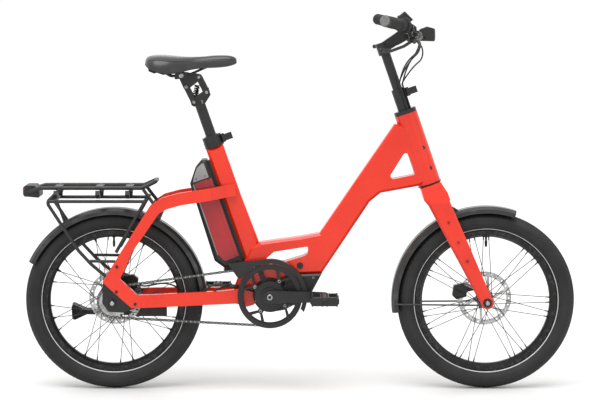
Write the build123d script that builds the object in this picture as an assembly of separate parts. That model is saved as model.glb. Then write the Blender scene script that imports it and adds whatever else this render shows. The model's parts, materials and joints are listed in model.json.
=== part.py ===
from build123d import *
import math
import os

os.makedirs("parts", exist_ok=True)

# A compact electric bicycle with 20-inch wheels. X points forwards, Y to the rider's left, Z up.
# The origin is on the ground, midway between the two axles. Sizes are in millimetres.

# ---- overall sizes
wheelbase = 1102.0
tyre_diameter = 526.0
tyre_width = 60.0
bracket_from_rear = 462.5      # bottom bracket ahead of the rear axle
bracket_rise = 19.0            # bottom bracket above the axles
head_lean = 19.0               # steering axis behind vertical, degrees
seat_lean = 19.3               # seat tube behind vertical, degrees
seat_set_back = 8.8            # seat axis behind the bottom bracket
fork_offset = 46.0

# ---- fits and gaps
running_gap = 0.05             # radial clearance of a shaft in its bearing
seat_gap = 0.02                # radial clearance of a ring pressed in its seat
part_gap = 0.3                 # clearance between bodies that move past each other
tiny = 0.01

# ---- wheels
rim_inner, rim_outer, rim_width = 189.0, 209.0, 36.0
rim_bed, rim_wall = 200.0, 2.5
bead_radius = 203.0
tyre_wall = 4.0
axle_radius = 6.0
spoke_radius = 1.0
front_spokes, rear_spokes = 28, 32
front_drop, rear_drop = 50.0, 67.5      # half the width between the dropouts
disc_radius, disc_thickness = 80.0, 1.8
front_disc_y, rear_disc_y = 38.0, 53.0
fender_thickness, fender_half = 2.5, 35.0
rear_fender_radius, front_fender_radius = 276.0, 280.0

# ---- drive
chain_y = -55.0
ring_teeth, sprocket_teeth = 44, 22
chain_pitch = 12.7
tooth_thickness, tooth_height = 2.2, 3.0
plate_depth, plate_thickness, plate_inset = 8.6, 1.5, 1.9
crank_length, crank_axle_radius = 160.0, 12.0
arm_inner, arm_thickness = 74.0, 14.0
pedal_length, pedal_width, pedal_height = 84.0, 95.0, 26.0
spindle_radius = 5.0
motor_radius, motor_half, cover_half = 50.0, 43.0, 42.6
bolt_circle, guard_ring_radius, guard_ring_inner = 52.0, 95.0, 81.0

# ---- steering column
head_bottom, head_top, head_radius = 380.0, 601.0, 34.0
head_bore = 28.0
bearing_depth, bearing_radius = 8.0, 30.0
steerer_radius, mast_radius = 15.9, 14.0
steerer_top, mast_bottom, mast_top = 640.0, 486.0, 806.0
cable_radius, cable_circle, spigot_radius = 2.2, 22.3, 25.5
clamp_radius, clamp_bottom, clamp_top = 19.5, 613.0, 678.0

# ---- cockpit
bar_reach, bar_height = 88.0, 828.5     # bar centre ahead of the steering axis, and up it
bar_radius, bar_centre_radius = 11.1, 15.9
grip_radius = 16.0

# ---- frame
frame_half = 30.0
seat_tube_half, seat_tube_top = 25.0, 466.0
stay_thickness = 14.5
plate_y = 6.0                            # thickness of the dropout plates
collar_top, collar_radius = 500.0, 28.5
post_radius, post_bottom, post_top = 15.8, 330.0, 606.0
battery_half = 40.0

# ---- worked out from these
axle_z = tyre_diameter / 2
rear_x, front_x = -wheelbase / 2, wheelbase / 2
bb_x, bb_z = rear_x + bracket_from_rear, axle_z + bracket_rise
rear_axle, front_axle = (rear_x, axle_z), (front_x, axle_z)
bottom_bracket = (bb_x, bb_z)
ring_pitch = chain_pitch / (2 * math.sin(math.pi / ring_teeth))
sprocket_pitch = chain_pitch / (2 * math.sin(math.pi / sprocket_teeth))
tyre_growth = tyre_diameter / 2 - 263.0  # rims, fenders and fork grow with the tyre
rim_inner, rim_outer, rim_bed = (r + tyre_growth for r in (rim_inner, rim_outer, rim_bed))
bead_radius = bead_radius + tyre_growth


def tilted(base, lean, along, ahead):
    """The (X, Z) point that far up a leaning axis from its base, and that far ahead of it."""
    s, c = math.sin(math.radians(lean)), math.cos(math.radians(lean))
    return (base[0] - along * s + ahead * c, base[1] + along * c + ahead * s)


steer_base = tilted(front_axle, head_lean, 0, -fork_offset)
seat_base = tilted(bottom_bracket, seat_lean, 0, -seat_set_back)


def on_steer(along, ahead=0.0):
    return tilted(steer_base, head_lean, along + tyre_growth, ahead)


def on_seat(along, ahead=0.0):
    return tilted(seat_base, seat_lean, along, ahead)


def at_bb(dx, dz):
    return (bb_x + dx, bb_z + dz)


def at_rear(dx, dz):
    return (rear_x + dx, axle_z + dz)


def polar(centre, radius, degrees):
    """The (X, Z) point at a radius and an angle measured from +X towards +Z."""
    a = math.radians(degrees)
    return (centre[0] + radius * math.cos(a), centre[1] + radius * math.sin(a))


def deep(point, y):
    """An (X, Z) point placed at a Y."""
    return (point[0], y, point[1])


# ---------------------------------------------------------------- shape helpers
def side(y):
    """The side-view plane at a Y: local x is +X, local y is +Z, and it extrudes towards -Y."""
    return Plane(origin=(0, y, 0), x_dir=(1, 0, 0), z_dir=(0, -1, 0))


def outline(points, radius=0.0):
    if radius:
        return make_face(FilletPolyline(*points, radius=radius, close=True))
    return make_face(Polyline(*points, close=True))


def bevel(solid, y_low, y_high, edge):
    """Chamfer the edges that lie in the two end planes of a side-view extrusion."""
    rims = [e for e in solid.edges() if any(abs(v.Y - e.center().Y) < tiny for v in e.vertices())]
    rims = [e for e in rims if min(abs(e.center().Y - y_low), abs(e.center().Y - y_high)) < tiny]
    return chamfer(rims, edge)


def slab(points, y_low, y_high, radius=0.0, edge=0.0):
    """A side-view outline of (X, Z) points, solid from y_low to y_high."""
    solid = extrude(side(y_high) * outline(points, radius), amount=y_high - y_low)
    return bevel(solid, y_low, y_high, edge) if edge else solid


def disc(centre, y_low, y_high, outer, inner=0.0):
    """A round plate or ring about a Y axis."""
    face = Circle(outer) - Circle(inner) if inner else Circle(outer)
    return extrude(side(y_high) * Pos(*centre) * face, amount=y_high - y_low)


def bar(p, q, p_radius, q_radius, y_low, y_high):
    """A flat arm with a round end at each of two (X, Z) points."""
    ends = (Pos(*p) * Circle(p_radius)).edges() + (Pos(*q) * Circle(q_radius)).edges()
    return extrude(side(y_high) * make_hull(ends), amount=y_high - y_low)


def rod(p, q, radius, bore=0.0):
    """A round rod or tube from one point to another."""
    along = Vector(*q) - Vector(*p)
    face = Circle(radius) - Circle(bore) if bore else Circle(radius)
    return extrude(Plane(origin=p, z_dir=along) * face, amount=along.length)


def tube(points, radius, bends):
    """A bent round bar: straight runs joined by tangent arcs."""
    path = FilletPolyline(*points, radius=bends)
    return sweep(Plane(origin=path @ 0, z_dir=path % 0) * Circle(radius), path=path)


def turned(centre, points, start=0.0, arc=360.0):
    """Turn an outline of (radius, y) points about the Y axis through centre."""
    axis = Axis((centre[0], 0, centre[1]), (0, -1, 0))
    flat = make_face(Polyline(*[(centre[0] + r, y, centre[1]) for r, y in points], close=True))
    solid = revolve(flat, axis=axis, revolution_arc=arc)
    return solid.rotate(axis, start) if start else solid


def ribbon(points, widths):
    """The outline of a band that follows a line of (X, Z) points, with a width at each point."""
    left, right = [], []
    for i, (x, z) in enumerate(points):
        ahead, behind = points[min(i + 1, len(points) - 1)], points[max(i - 1, 0)]
        into = Vector(x - behind[0], z - behind[1]) if i else Vector(ahead[0] - x, ahead[1] - z)
        out = Vector(ahead[0] - x, ahead[1] - z) if i < len(points) - 1 else into
        into, out = into.normalized(), out.normalized()
        middle = (into + out).normalized()
        reach = widths[i] / 2 / middle.dot(out)
        left.append((x - middle.Y * reach, z + middle.X * reach))
        right.append((x + middle.Y * reach, z - middle.X * reach))
    return left + right[::-1]


def plan(points):
    """A tall prism over an outline of (X, Y) points, for trimming a part to its top view."""
    return extrude(Plane.XY * outline(points), amount=1400)


def both_sides(solid):
    return [solid, mirror(solid, about=Plane.XZ)]


def fused(*solids):
    whole = solids[0]
    for solid in solids[1:]:
        whole = whole + solid
    return whole


def without(solid, *cutters):
    for cutter in cutters:
        solid = solid - cutter
    return solid


nodes = {}


def node(name, *shapes):
    """Keep the solids of one sub-part under its name."""
    nodes[name] = [solid for shape in shapes for solid in shape.solids()]


# ---------------------------------------------------------------- frame
def steer_rod(low, high, radius, bore=0.0, ahead=0.0, y=0.0):
    return rod(deep(on_steer(low, ahead), y), deep(on_steer(high, ahead), y), radius, bore)


def seat_rod(low, high, radius, bore=0.0):
    return rod(deep(on_seat(low), 0), deep(on_seat(high), 0), radius, bore)


def main_frame():
    """Head tube, down tube with its gusset, step, seat tube and the cradle round the motor."""
    hull = slab(
        [on_steer(560, -5), on_steer(584, -41), at_bb(146, 182), at_bb(87, 171), at_bb(-29, 155),
         on_seat(150, 0), on_seat(122, -27), at_bb(-107, 21), at_bb(-107, -26), at_bb(-69, -37),
         at_bb(-51, -32), at_bb(82, 61), at_bb(153, 64), at_bb(294, 276), at_bb(326, 302),
         on_steer(388, -31), on_steer(392, -5)],
        -frame_half, frame_half, edge=7)
    gusset = slab([on_steer(502, -33), at_bb(345.4, 339), on_steer(423, -30)], -60, 60, radius=9)
    step_gap = slab(
        [at_bb(-13, 106), at_bb(12, 127.5), at_bb(113, 143.5), at_bb(111, 122), at_bb(98, 114),
         at_bb(41, 97), at_bb(0, 91)], -60, 60, radius=5)
    motor_bay = disc(bottom_bracket, -60, 60, motor_radius + 1.0)
    seat_tube = slab(
        [on_seat(118, -27), on_seat(seat_tube_top, -27), on_seat(seat_tube_top, 25),
         on_seat(300, 25), on_seat(160, 29), on_seat(130, 20)],
        -seat_tube_half, seat_tube_half, edge=8)
    head = steer_rod(head_bottom, head_top, head_radius)
    body = fused(without(hull, gusset, step_gap), seat_tube, head)
    return without(
        body, motor_bay,
        seat_rod(225, seat_tube_top + 5, post_radius + running_gap),
        steer_rod(head_bottom - 5, head_top + 5, head_bore),
        steer_rod(head_bottom - 5, head_bottom + bearing_depth, bearing_radius),
        steer_rod(head_top - bearing_depth, head_top + 5, bearing_radius))


frame = main_frame()
plug = disc(at_bb(88.5, 87), -frame_half - 1.5, -frame_half, 9.5)
node("main_frame", frame)

# Seat stays and chain stays: side-view bands, bent outwards round the battery and the wheel.
stay_outer = rear_drop + plate_y + stay_thickness
stay_inner = rear_drop + plate_y
seat_stay_line = [at_bb(-101, 312), at_rear(198, 306), at_rear(154, 294), at_rear(126, 277),
                  at_rear(44, 153), at_rear(-2, 68), at_rear(70, 2)]
chain_stay_line = [at_rear(56, 6), at_rear(316, 13), at_bb(-80, -2)]
seat_stay_plan = [at_bb(-98, 0)[0], at_bb(-126, 0)[0], at_bb(-174, 0)[0], at_rear(201, 0)[0],
                  at_rear(95, 0)[0], at_rear(-60, 0)[0]]


def stays():
    upper = slab(ribbon(seat_stay_line, [36, 36, 36, 34, 28, 42, 40]), 0, 110, edge=4)
    lower = slab(ribbon(chain_stay_line, [38, 39, 44]), 0, 110, edge=4)
    inner = [seat_tube_half, seat_tube_half, 58, 60, stay_inner, stay_inner]
    outer = [seat_tube_half + 15, seat_tube_half + 17, 74, 77, stay_outer, stay_outer]
    upper = upper & plan(list(zip(seat_stay_plan, inner)) + list(zip(seat_stay_plan, outer))[::-1])
    xs = [at_bb(-78, 0)[0], at_bb(-108, 0)[0], at_rear(280, 0)[0], at_rear(121, 0)[0],
          at_rear(40, 0)[0]]
    inner = [frame_half, frame_half, 40, stay_inner, stay_inner]
    outer = [48, 48, 60, stay_outer, stay_outer]
    lower = lower & plan(list(zip(xs, inner)) + list(zip(xs, outer))[::-1])
    left = without(fused(upper, lower), frame)
    bridge = rod(deep(at_rear(146, 282), -70), deep(at_rear(146, 282), 70), 8)
    return fused(left, mirror(left, about=Plane.XZ), bridge)


rear_triangle = stays()
node("rear_triangle", rear_triangle)

plate_outline = [at_rear(-26, 68), at_rear(-30, 0), at_rear(-12, -26), at_rear(30, -28),
                 at_rear(72, -14), at_rear(82, 20), at_rear(22, 72)]
dropout = without(slab(plate_outline, rear_drop, stay_inner, radius=9),
                  disc(rear_axle, 0, 100, axle_radius + seat_gap))
stay_bolts = [disc(at_rear(dx, dz), stay_outer, stay_outer + 2.5, 4.5)
              for dx, dz in [(15, 109), (13, 35), (68, -1)]]
node("dropout_plates", *both_sides(dropout), *[s for b in stay_bolts for s in both_sides(b)], plug)

# ---------------------------------------------------------------- motor and drive
def motor():
    front = slab([at_bb(0, 44), at_bb(80, 57), at_bb(104, 22), at_bb(60, -22), at_bb(0, -44)],
                 -34, 34, radius=8)
    whole = fused(disc(bottom_bracket, -motor_half, motor_half, motor_radius), front)
    return without(whole, disc(bottom_bracket, -80, 80, crank_axle_radius + 6))


motor_body = without(motor(), frame)
bearings = [disc(bottom_bracket, s * (motor_half - 5) - 5, s * (motor_half - 5) + 5,
                 crank_axle_radius + 6 - seat_gap, crank_axle_radius + running_gap) for s in (-1, 1)]
node("motor_unit", motor_body, *bearings)
cover = slab([at_bb(46, 60), at_bb(82, 61), at_bb(153, 64), at_bb(123, 8), at_bb(88, -20),
              at_bb(43, -44), at_bb(10, -49.5)], -cover_half, cover_half, edge=5)
node("motor_cover", without(cover, motor_body, frame, disc(bottom_bracket, -50, 50, motor_radius)))


def toothed(centre, teeth, pitch_radius):
    """A toothed plate outline: four corners for each tooth."""
    points = []
    for i in range(teeth):
        for part, radius in ((-0.34, -tooth_height), (-0.14, tooth_height),
                             (0.14, tooth_height), (0.34, -tooth_height)):
            points.append(polar(centre, pitch_radius + radius, 360 * (i + part) / teeth))
    return slab(points, chain_y - tooth_thickness / 2, chain_y + tooth_thickness / 2)


def spider(rim_in, rim_out, y_low, y_high, arm, boss):
    """A ring carried on four bolts, each joined to it by two thin arms."""
    parts = [disc(bottom_bracket, y_low, y_high, rim_out, rim_in)]
    parts.append(disc(bottom_bracket, y_low, y_high, bolt_circle - boss, crank_axle_radius + 14))
    for i in range(4):
        angle = 58 + 90 * i
        bolt = polar(bottom_bracket, bolt_circle, angle)
        parts.append(bar(polar(bottom_bracket, 34, angle), bolt, boss, boss, y_low, y_high))
        for turn in (-18, 18):
            end = polar(bottom_bracket, (rim_in + rim_out) / 2, angle + turn)
            parts.append(bar(bolt, end, arm, arm, y_low, y_high))
    return fused(*parts)


ring_y = chain_y - tooth_thickness / 2
ring_plate = without(toothed(bottom_bracket, ring_teeth, ring_pitch),
                     disc(bottom_bracket, -60, -50, ring_pitch - 11))
chainring = fused(spider(ring_pitch - 11, ring_pitch - 4, ring_y, ring_y + tooth_thickness, 3.5, 8),
                  ring_plate)
node("chainring", chainring)
guard_outer_y, guard_inner_y = -64.0, -60.0
guard_ring = spider(guard_ring_inner, guard_ring_radius, guard_outer_y, guard_inner_y, 3.0, 8)
guard_bolts = [disc(polar(bottom_bracket, bolt_circle, 58 + 90 * i), guard_inner_y, ring_y, 6)
               for i in range(4)]
node("chainring_guard", guard_ring, *guard_bolts)


def crank():
    ends = {-1: polar(bottom_bracket, crank_length, 0), 1: polar(bottom_bracket, crank_length, 180)}
    parts = [rod(deep(bottom_bracket, -arm_inner - 4), deep(bottom_bracket, arm_inner + 4),
                 crank_axle_radius)]
    for s, end in ends.items():
        low, high = sorted((s * arm_inner, s * (arm_inner + arm_thickness)))
        parts.append(bar(bottom_bracket, end, 19, 14.5, low, high))
        parts.append(rod(deep(end, s * (arm_inner + 4)),
                         deep(end, s * (arm_inner + arm_thickness + pedal_width - 12)),
                         spindle_radius))
    parts.append(disc(bottom_bracket, -arm_inner, ring_y + tooth_thickness,
                      crank_axle_radius + 14 - seat_gap))
    return fused(*parts)


node("crank_arms", crank())


def pedal(side_sign, centre):
    """A caged platform that turns on its spindle."""
    near = arm_inner + arm_thickness + 4
    low, high = sorted((side_sign * near, side_sign * (near + pedal_width)))
    x, z = centre
    half, tall = pedal_length / 2, pedal_height / 2
    body = slab([(x - half, z - 6), (x - half + 9, z - tall), (x + half - 9, z - tall),
                 (x + half, z - 6), (x + half, z + 6), (x + half - 9, z + tall),
                 (x - half + 9, z + tall), (x - half, z + 6)], low, high, edge=2)
    for s in (-1, 1):
        middle = x + s * (half + 6) / 2
        window = Pos(middle, (low + high) / 2, z) * Box(half - 20, pedal_width - 22, 60)
        body = body - window
    return body - rod((x, low - 1, z), (x, high + 1, z), spindle_radius + running_gap)


node("pedal_right", pedal(-1, polar(bottom_bracket, crank_length, 0)))
node("pedal_left", pedal(1, polar(bottom_bracket, crank_length, 180)))


def belt(grow):
    """The side-view outline round both toothed wheels, grown by an amount."""
    ends = ((Pos(*bottom_bracket) * Circle(ring_pitch + grow)).edges()
            + (Pos(*rear_axle) * Circle(sprocket_pitch + grow)).edges())
    return make_hull(ends)


def chain_plates():
    """The chain's inner and outer lines of side plates; the teeth turn between them."""
    band = belt(plate_depth / 2) - belt(-plate_depth / 2)
    rows = (chain_y - plate_inset, chain_y + plate_inset + plate_thickness)
    return [extrude(side(y) * band, amount=plate_thickness) for y in rows]


node("chain", *chain_plates())


def chain_guard():
    """A cover outside the top of the chainring, open towards the wheel where the chain leaves."""
    def band(outer, inner, back):
        c = bottom_bracket
        return make_face([
            ThreePointArc(polar(c, inner, 147), polar(c, inner, 70), polar(c, inner, -22)),
            Line(polar(c, inner, -22), polar(c, outer, -25)),
            ThreePointArc(polar(c, outer, -25), polar(c, outer, 32), polar(c, outer, 88)),
            Line(polar(c, outer, 88), at_bb(back, outer - 13)),
            Line(at_bb(back, outer - 13), at_bb(back + 30, 54)),
            Line(at_bb(back + 30, 54), polar(c, inner, 147))])
    shell = extrude(side(-46) * band(110, 97, -124), amount=22)
    inside = extrude(side(-45) * band(107.5, 96.5, -140), amount=22 - 1.5)
    arms = [bar(polar(bottom_bracket, 42, a), polar(bottom_bracket, 103, a), 8, 6, -46, -motor_half)
            for a in (28, 112)]
    return fused(shell - inside, *arms)


node("chain_guard", chain_guard())

# ---------------------------------------------------------------- wheels
def tyre(centre):
    crown = tyre_diameter / 2
    widest = crown - tyre_width / 2 + 3
    half, seat = tyre_width / 2, rim_width / 2 - rim_wall - seat_gap

    def p(r, y):
        return (centre[0] + r, y, centre[1])

    edges = []
    for s in (-1, 1):
        w = tyre_wall
        edges += [
            Line(p(bead_radius, s * seat), p(rim_outer + 1, s * seat)),
            ThreePointArc(p(rim_outer + 1, s * seat), p(rim_outer + 12, s * (half - 4)),
                          p(widest, s * half)),
            ThreePointArc(p(widest, s * half), p(crown - 7, s * (half - 11)), p(crown, 0)),
            Line(p(bead_radius, s * seat), p(bead_radius, s * (seat - w))),
            Line(p(bead_radius, s * (seat - w)), p(rim_outer + 3, s * (seat - w))),
            ThreePointArc(p(rim_outer + 3, s * (seat - w)), p(rim_outer + 14.5, s * (half - 7.3)),
                          p(widest, s * (half - w))),
            ThreePointArc(p(widest, s * (half - w)), p(crown - 7 - w, s * (half - 13)),
                          p(crown - 2 * w, 0))]
    return revolve(make_face(edges), axis=Axis((centre[0], 0, centre[1]), (0, -1, 0)))


def rim(centre):
    w, t = rim_width / 2, rim_wall
    half = [(rim_inner, 7), (rim_inner + 7, w), (rim_outer, w), (rim_outer, w - t),
            (rim_bed + 2, w - t), (rim_bed, 8)]
    return turned(centre, half + [(r, -y) for r, y in half[::-1]])


def spokes(centre, count, flange_radius, flange_y, lace):
    """Crossed spokes: each pair leaves a flange in opposite directions, one each side of it."""
    rods = []
    for i in range(count):
        s = 1 if i % 2 else -1
        lean = 1 if (i // 2) % 2 else -1
        hub_angle = 360 * i / count
        near = deep(polar(centre, flange_radius - 3, hub_angle), s * (flange_y + 2.4 * lean))
        far = deep(polar(centre, rim_inner + 1.5, hub_angle + lace * lean), s * (2.5 + lean))
        rods.append(rod(near, far, spoke_radius))
    return rods


hub_bore, bearing_width = axle_radius + 4, 8.0


def hub(centre, profile, flange_radius, flange_y, low_end, high_end):
    """A turned shell with two spoke flanges, and a bearing ring pressed in each end."""
    shell = turned(centre, [(hub_bore, low_end)] + profile + [(hub_bore, high_end)])
    flanges = [disc(centre, s * flange_y - 4, s * flange_y + 4, flange_radius, hub_bore)
               for s in (-1, 1)]
    rings = [disc(centre, low, low + bearing_width, hub_bore - seat_gap, axle_radius + running_gap)
             for low in (low_end, high_end - bearing_width)]
    return [fused(shell, *flanges)] + rings


def brake_disc(centre, y):
    """A slotted disc on six thin arms."""
    low, high = y, y + disc_thickness
    body = disc(centre, low, high, disc_radius, disc_radius - 15)
    for i in range(6):
        body = body + bar(polar(centre, 22, 60 * i), polar(centre, disc_radius - 12, 60 * i + 22),
                          4, 4, low, high)
    body = body + disc(centre, low, high, 27)
    slots = [disc(polar(centre, disc_radius - 7.5, 15 * i), low - 1, high + 1, 2.6)
             for i in range(24)]
    return without(body, disc(centre, low - 1, high + 1, 17), *slots)


front_end, rear_end = front_drop - part_gap, rear_drop - part_gap
node("front_tyre", tyre(front_axle))
node("front_rim", rim(front_axle))
node("front_spokes", *spokes(front_axle, front_spokes, 22, 28, 62))
node("front_hub", *hub(front_axle, [(12, -front_end), (12, -34), (14, -24), (14, 24), (17, 34),
                                    (17, front_disc_y + 5), (12, front_disc_y + 5),
                                    (12, front_end)], 22, 28, -front_end, front_end))
node("front_disc", without(brake_disc(front_axle, front_disc_y), nodes["front_hub"][0]))
node("rear_tyre", tyre(rear_axle))
node("rear_rim", rim(rear_axle))
node("rear_spokes", *spokes(rear_axle, rear_spokes, 50, 27, 40))
node("rear_hub", *hub(rear_axle, [(20, -47), (34, -38), (46, -34), (46, 34), (30, 40), (17, 48),
                                  (17, rear_disc_y + 5), (12, rear_disc_y + 5), (12, rear_end)],
                      50, 27, -47, rear_end))
node("rear_disc", without(brake_disc(rear_axle, rear_disc_y), nodes["rear_hub"][0]))

sprocket_low, sprocket_high = -rear_end, -47.0 - part_gap
sprocket = fused(toothed(rear_axle, sprocket_teeth, sprocket_pitch),
                 disc(rear_axle, sprocket_low + 5, sprocket_high, 20))
node("rear_sprocket", without(sprocket, disc(rear_axle, -80, -40, axle_radius + running_gap)))

nut_reach = stay_inner + 9
node("rear_axle", rod(deep(rear_axle, -nut_reach - 3), deep(rear_axle, nut_reach + 3), axle_radius),
     *[rod(deep(rear_axle, s * stay_inner), deep(rear_axle, s * nut_reach), 10,
           axle_radius + seat_gap) for s in (-1, 1)])
leg_outer = front_drop + 22
node("front_axle", rod(deep(front_axle, -leg_outer - 3), deep(front_axle, leg_outer + 3),
                       axle_radius),
     *[rod(deep(front_axle, s * leg_outer), deep(front_axle, s * (leg_outer + 3)), 10,
           axle_radius + seat_gap) for s in (-1, 1)])


def fender(centre, radius, start, arc):
    """A thin arched strip round the tyre."""
    w, t, r = fender_half, fender_thickness, radius + tyre_growth
    half = [(r - 18, w), (r - 8, w - 1), (r, w - 13)]
    inner = [(r - t, w - 14), (r - 9, w - 1 - t), (r - 18, w - t)]
    far_side = [(a, -b) for a, b in half[::-1]] + [(a, -b) for a, b in inner[::-1]]
    return turned(centre, half + far_side + inner, start, arc)


rear_mudguard = fender(rear_axle, rear_fender_radius, -2, 157)
hanger = bar(at_rear(146, 282), polar(rear_axle, rear_fender_radius + tyre_growth - 1, 61.5),
             9, 7, -8, 8)
bridge_seat = rod(deep(at_rear(146, 282), -20), deep(at_rear(146, 282), 20), 8 + seat_gap)
node("rear_fender", fused(rear_mudguard, without(hanger, bridge_seat)))

# ---------------------------------------------------------------- fork and front end
def front_view(points):
    """A long prism along X over an outline of (Y, Z) points, for trimming to the front view."""
    return extrude(Plane.YZ * outline(points), amount=900, both=True)


crown_top = head_bottom - part_gap
leg_top, leg_widths = on_steer(360, 2), [64, 57, 50, 42, 37]


def along_leg(share):
    return tuple(a + share * (b - a) for a, b in zip(leg_top, front_axle))


def fork():
    line = [along_leg(i / 4) for i in range(5)]
    leg = fused(slab(ribbon(line, leg_widths), front_drop, leg_outer, edge=6),
                disc(front_axle, front_drop, leg_outer, 18.5))
    crown = slab([on_steer(crown_top, -31), on_steer(crown_top, 31), on_steer(345, 40),
                  on_steer(322, 40), on_steer(322, -24), on_steer(345, -33)],
                 -leg_outer, leg_outer, edge=6)
    z = on_steer(crown_top)[1]
    shoulders = front_view([(-42, z + 30), (42, z + 30), (leg_outer + 1, z - 52),
                            (leg_outer + 1, 100), (-leg_outer - 1, 100), (-leg_outer - 1, z - 52)])
    body = fused(crown, *both_sides(leg)) & shoulders
    return without(fused(body, steer_rod(350, steerer_top, steerer_radius)),
                   steer_rod(395, steerer_top + 5, mast_radius + running_gap),
                   disc(front_axle, -100, 100, axle_radius + seat_gap))


fork_bosses = [s for share in (0.27, 0.45, 0.62) for s in
               both_sides(disc(along_leg(share), leg_outer - 1, leg_outer + 1.5, 5))]
node("fork", fused(fork(), *fork_bosses))
spigot_gap = spigot_radius + running_gap
node("headset_bearings",
     steer_rod(head_bottom, head_bottom + bearing_depth, bearing_radius - seat_gap,
               steerer_radius + running_gap),
     steer_rod(head_top - bearing_depth, head_top, bearing_radius - seat_gap, spigot_gap))

cable_angles = (-72, -36, 36, 72)


def cable_place(along, degrees, radius=cable_circle):
    a = math.radians(degrees)
    return deep(on_steer(along, radius * math.cos(a)), radius * math.sin(a))


def headset_cover():
    body = fused(steer_rod(head_top - bearing_depth, head_top + 1, spigot_radius),
                 steer_rod(head_top + part_gap, clamp_bottom, head_radius - 1))
    holes = [rod(cable_place(head_top - 20, a), cable_place(clamp_bottom + 5, a),
                 cable_radius + part_gap) for a in cable_angles]
    return without(body, steer_rod(head_top - 20, clamp_bottom + 5, steerer_radius + seat_gap), *holes)


node("headset_cover", headset_cover())


def across(point, lean):
    """The plane square to a leaning axis: local x is ahead, local y is +Y."""
    s, c = math.sin(math.radians(lean)), math.cos(math.radians(lean))
    return Plane(origin=deep(point, 0), x_dir=(c, 0, s), z_dir=(-s, 0, c))


ear_half, lever_root = 7.0, 4.0


def quick_clamp(place, lean, low, high, radius, bores, reach):
    """A split collar with two ears in front, its cross bolt, and the cam lever that closes it."""
    def block(a, b, x0, x1, half):
        sketch = Pos((x0 + x1) / 2, 0) * Rectangle(x1 - x0, 2 * half)
        return extrude(across(place(a), lean) * sketch, amount=b - a)
    collar = rod(deep(place(low), 0), deep(place(high), 0), radius)
    ears = block(high - 30, high - 4, radius - 6, reach, ear_half)
    slit = block(high - 32, high + 1, radius - 12, reach + 1, 1.0)
    bolt_at = place(high - 17, reach - 6)
    collar = without(fused(collar, ears), *bores, slit,
                     rod(deep(bolt_at, -20), deep(bolt_at, 20), 2.5 + seat_gap))
    bolt = fused(rod(deep(bolt_at, -ear_half), deep(bolt_at, ear_half + 3), 2.5),
                 rod(deep(bolt_at, ear_half), deep(bolt_at, ear_half + 3), 5))
    y = -(ear_half + part_gap + lever_root)
    ends = ((Pos(reach - 6, y) * Circle(lever_root)).edges()
            + (Pos(reach + 20, y - 2) * Circle(lever_root - 1)).edges())
    lever = extrude(across(place(high - 27), lean) * make_hull(ends), amount=20)
    return [collar, bolt], lever


stem_bores = [steer_rod(clamp_bottom - 5, steerer_top, steerer_radius + seat_gap),
              steer_rod(steerer_top - 1, clamp_top + 5, mast_radius + running_gap)]
stem_parts, stem_lever = quick_clamp(on_steer, head_lean, clamp_bottom, clamp_top, clamp_radius,
                                     stem_bores, 31)
node("stem_clamp", *stem_parts)
node("stem_clamp_lever", stem_lever)
node("stem_mast", steer_rod(mast_bottom, mast_top, mast_radius, mast_radius - 2.5))

collar_bores = [seat_rod(seat_tube_top - 5, collar_top + 5, post_radius + running_gap)]
collar_parts, seat_lever = quick_clamp(on_seat, seat_lean, seat_tube_top, collar_top, collar_radius,
                                       collar_bores, 37)
node("seat_collar", *collar_parts)
node("seat_clamp_lever", seat_lever)

# ---------------------------------------------------------------- cockpit
bar_at = on_steer(bar_height, bar_reach)
stem_pivot = on_steer(812, 17)
bar_points = [(-83, 305, 31), (-18, 190, 15), (1, 70, 0)]


def at_bar(dx, y, dz):
    return (bar_at[0] + dx, y, bar_at[1] + dz)


def mirrored(point):
    return (point[0], -point[1], point[2])


def stem_head():
    knuckle = steer_rod(786, 822, 20)
    arm = bar(on_steer(808, 6), bar_at, 15, 17, -15, 15)
    ring = disc(bar_at, -24, 24, 21)
    caps = both_sides(disc(stem_pivot, 15, 19, 9))
    return without(fused(knuckle, arm, ring, *caps),
                   steer_rod(780, mast_top + part_gap, mast_radius + running_gap),
                   disc(bar_at, -30, 30, bar_centre_radius + seat_gap))


node("stem_head", stem_head())


def between(p, q, distance):
    """The point that far from p towards q."""
    way = (Vector(*q) - Vector(*p)).normalized()
    return tuple(Vector(*p) + way * distance)


def on_grip(s, distance):
    """A point along the straight grip part of the bar, on the left (s = 1) or right (s = -1)."""
    outer, inner = at_bar(*bar_points[0]), at_bar(*bar_points[1])
    return tuple(between((inner[0], s * inner[1], inner[2]), (outer[0], s * outer[1], outer[2]),
                         distance))


grip_end = (Vector(*bar_points[0]) - Vector(*bar_points[1])).length


def lever_frame(s):
    """Lever pivot, hinge axis, and the points along the blade, on one side."""
    pivot = at_bar(2, s * 170, -26)
    blade = [at_bar(-25, s * 195, -42), at_bar(-62, s * 236, -54), at_bar(-93, s * 268, -52)]
    along = (Vector(*blade[-1]) - Vector(*pivot)).normalized()
    to_grip = (Vector(*on_grip(s, 70)) - Vector(*pivot)).normalized()
    return pivot, along.cross(to_grip).normalized(), blade


def shifted(point, way, distance):
    return tuple(Vector(*point) + way * distance)


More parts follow.
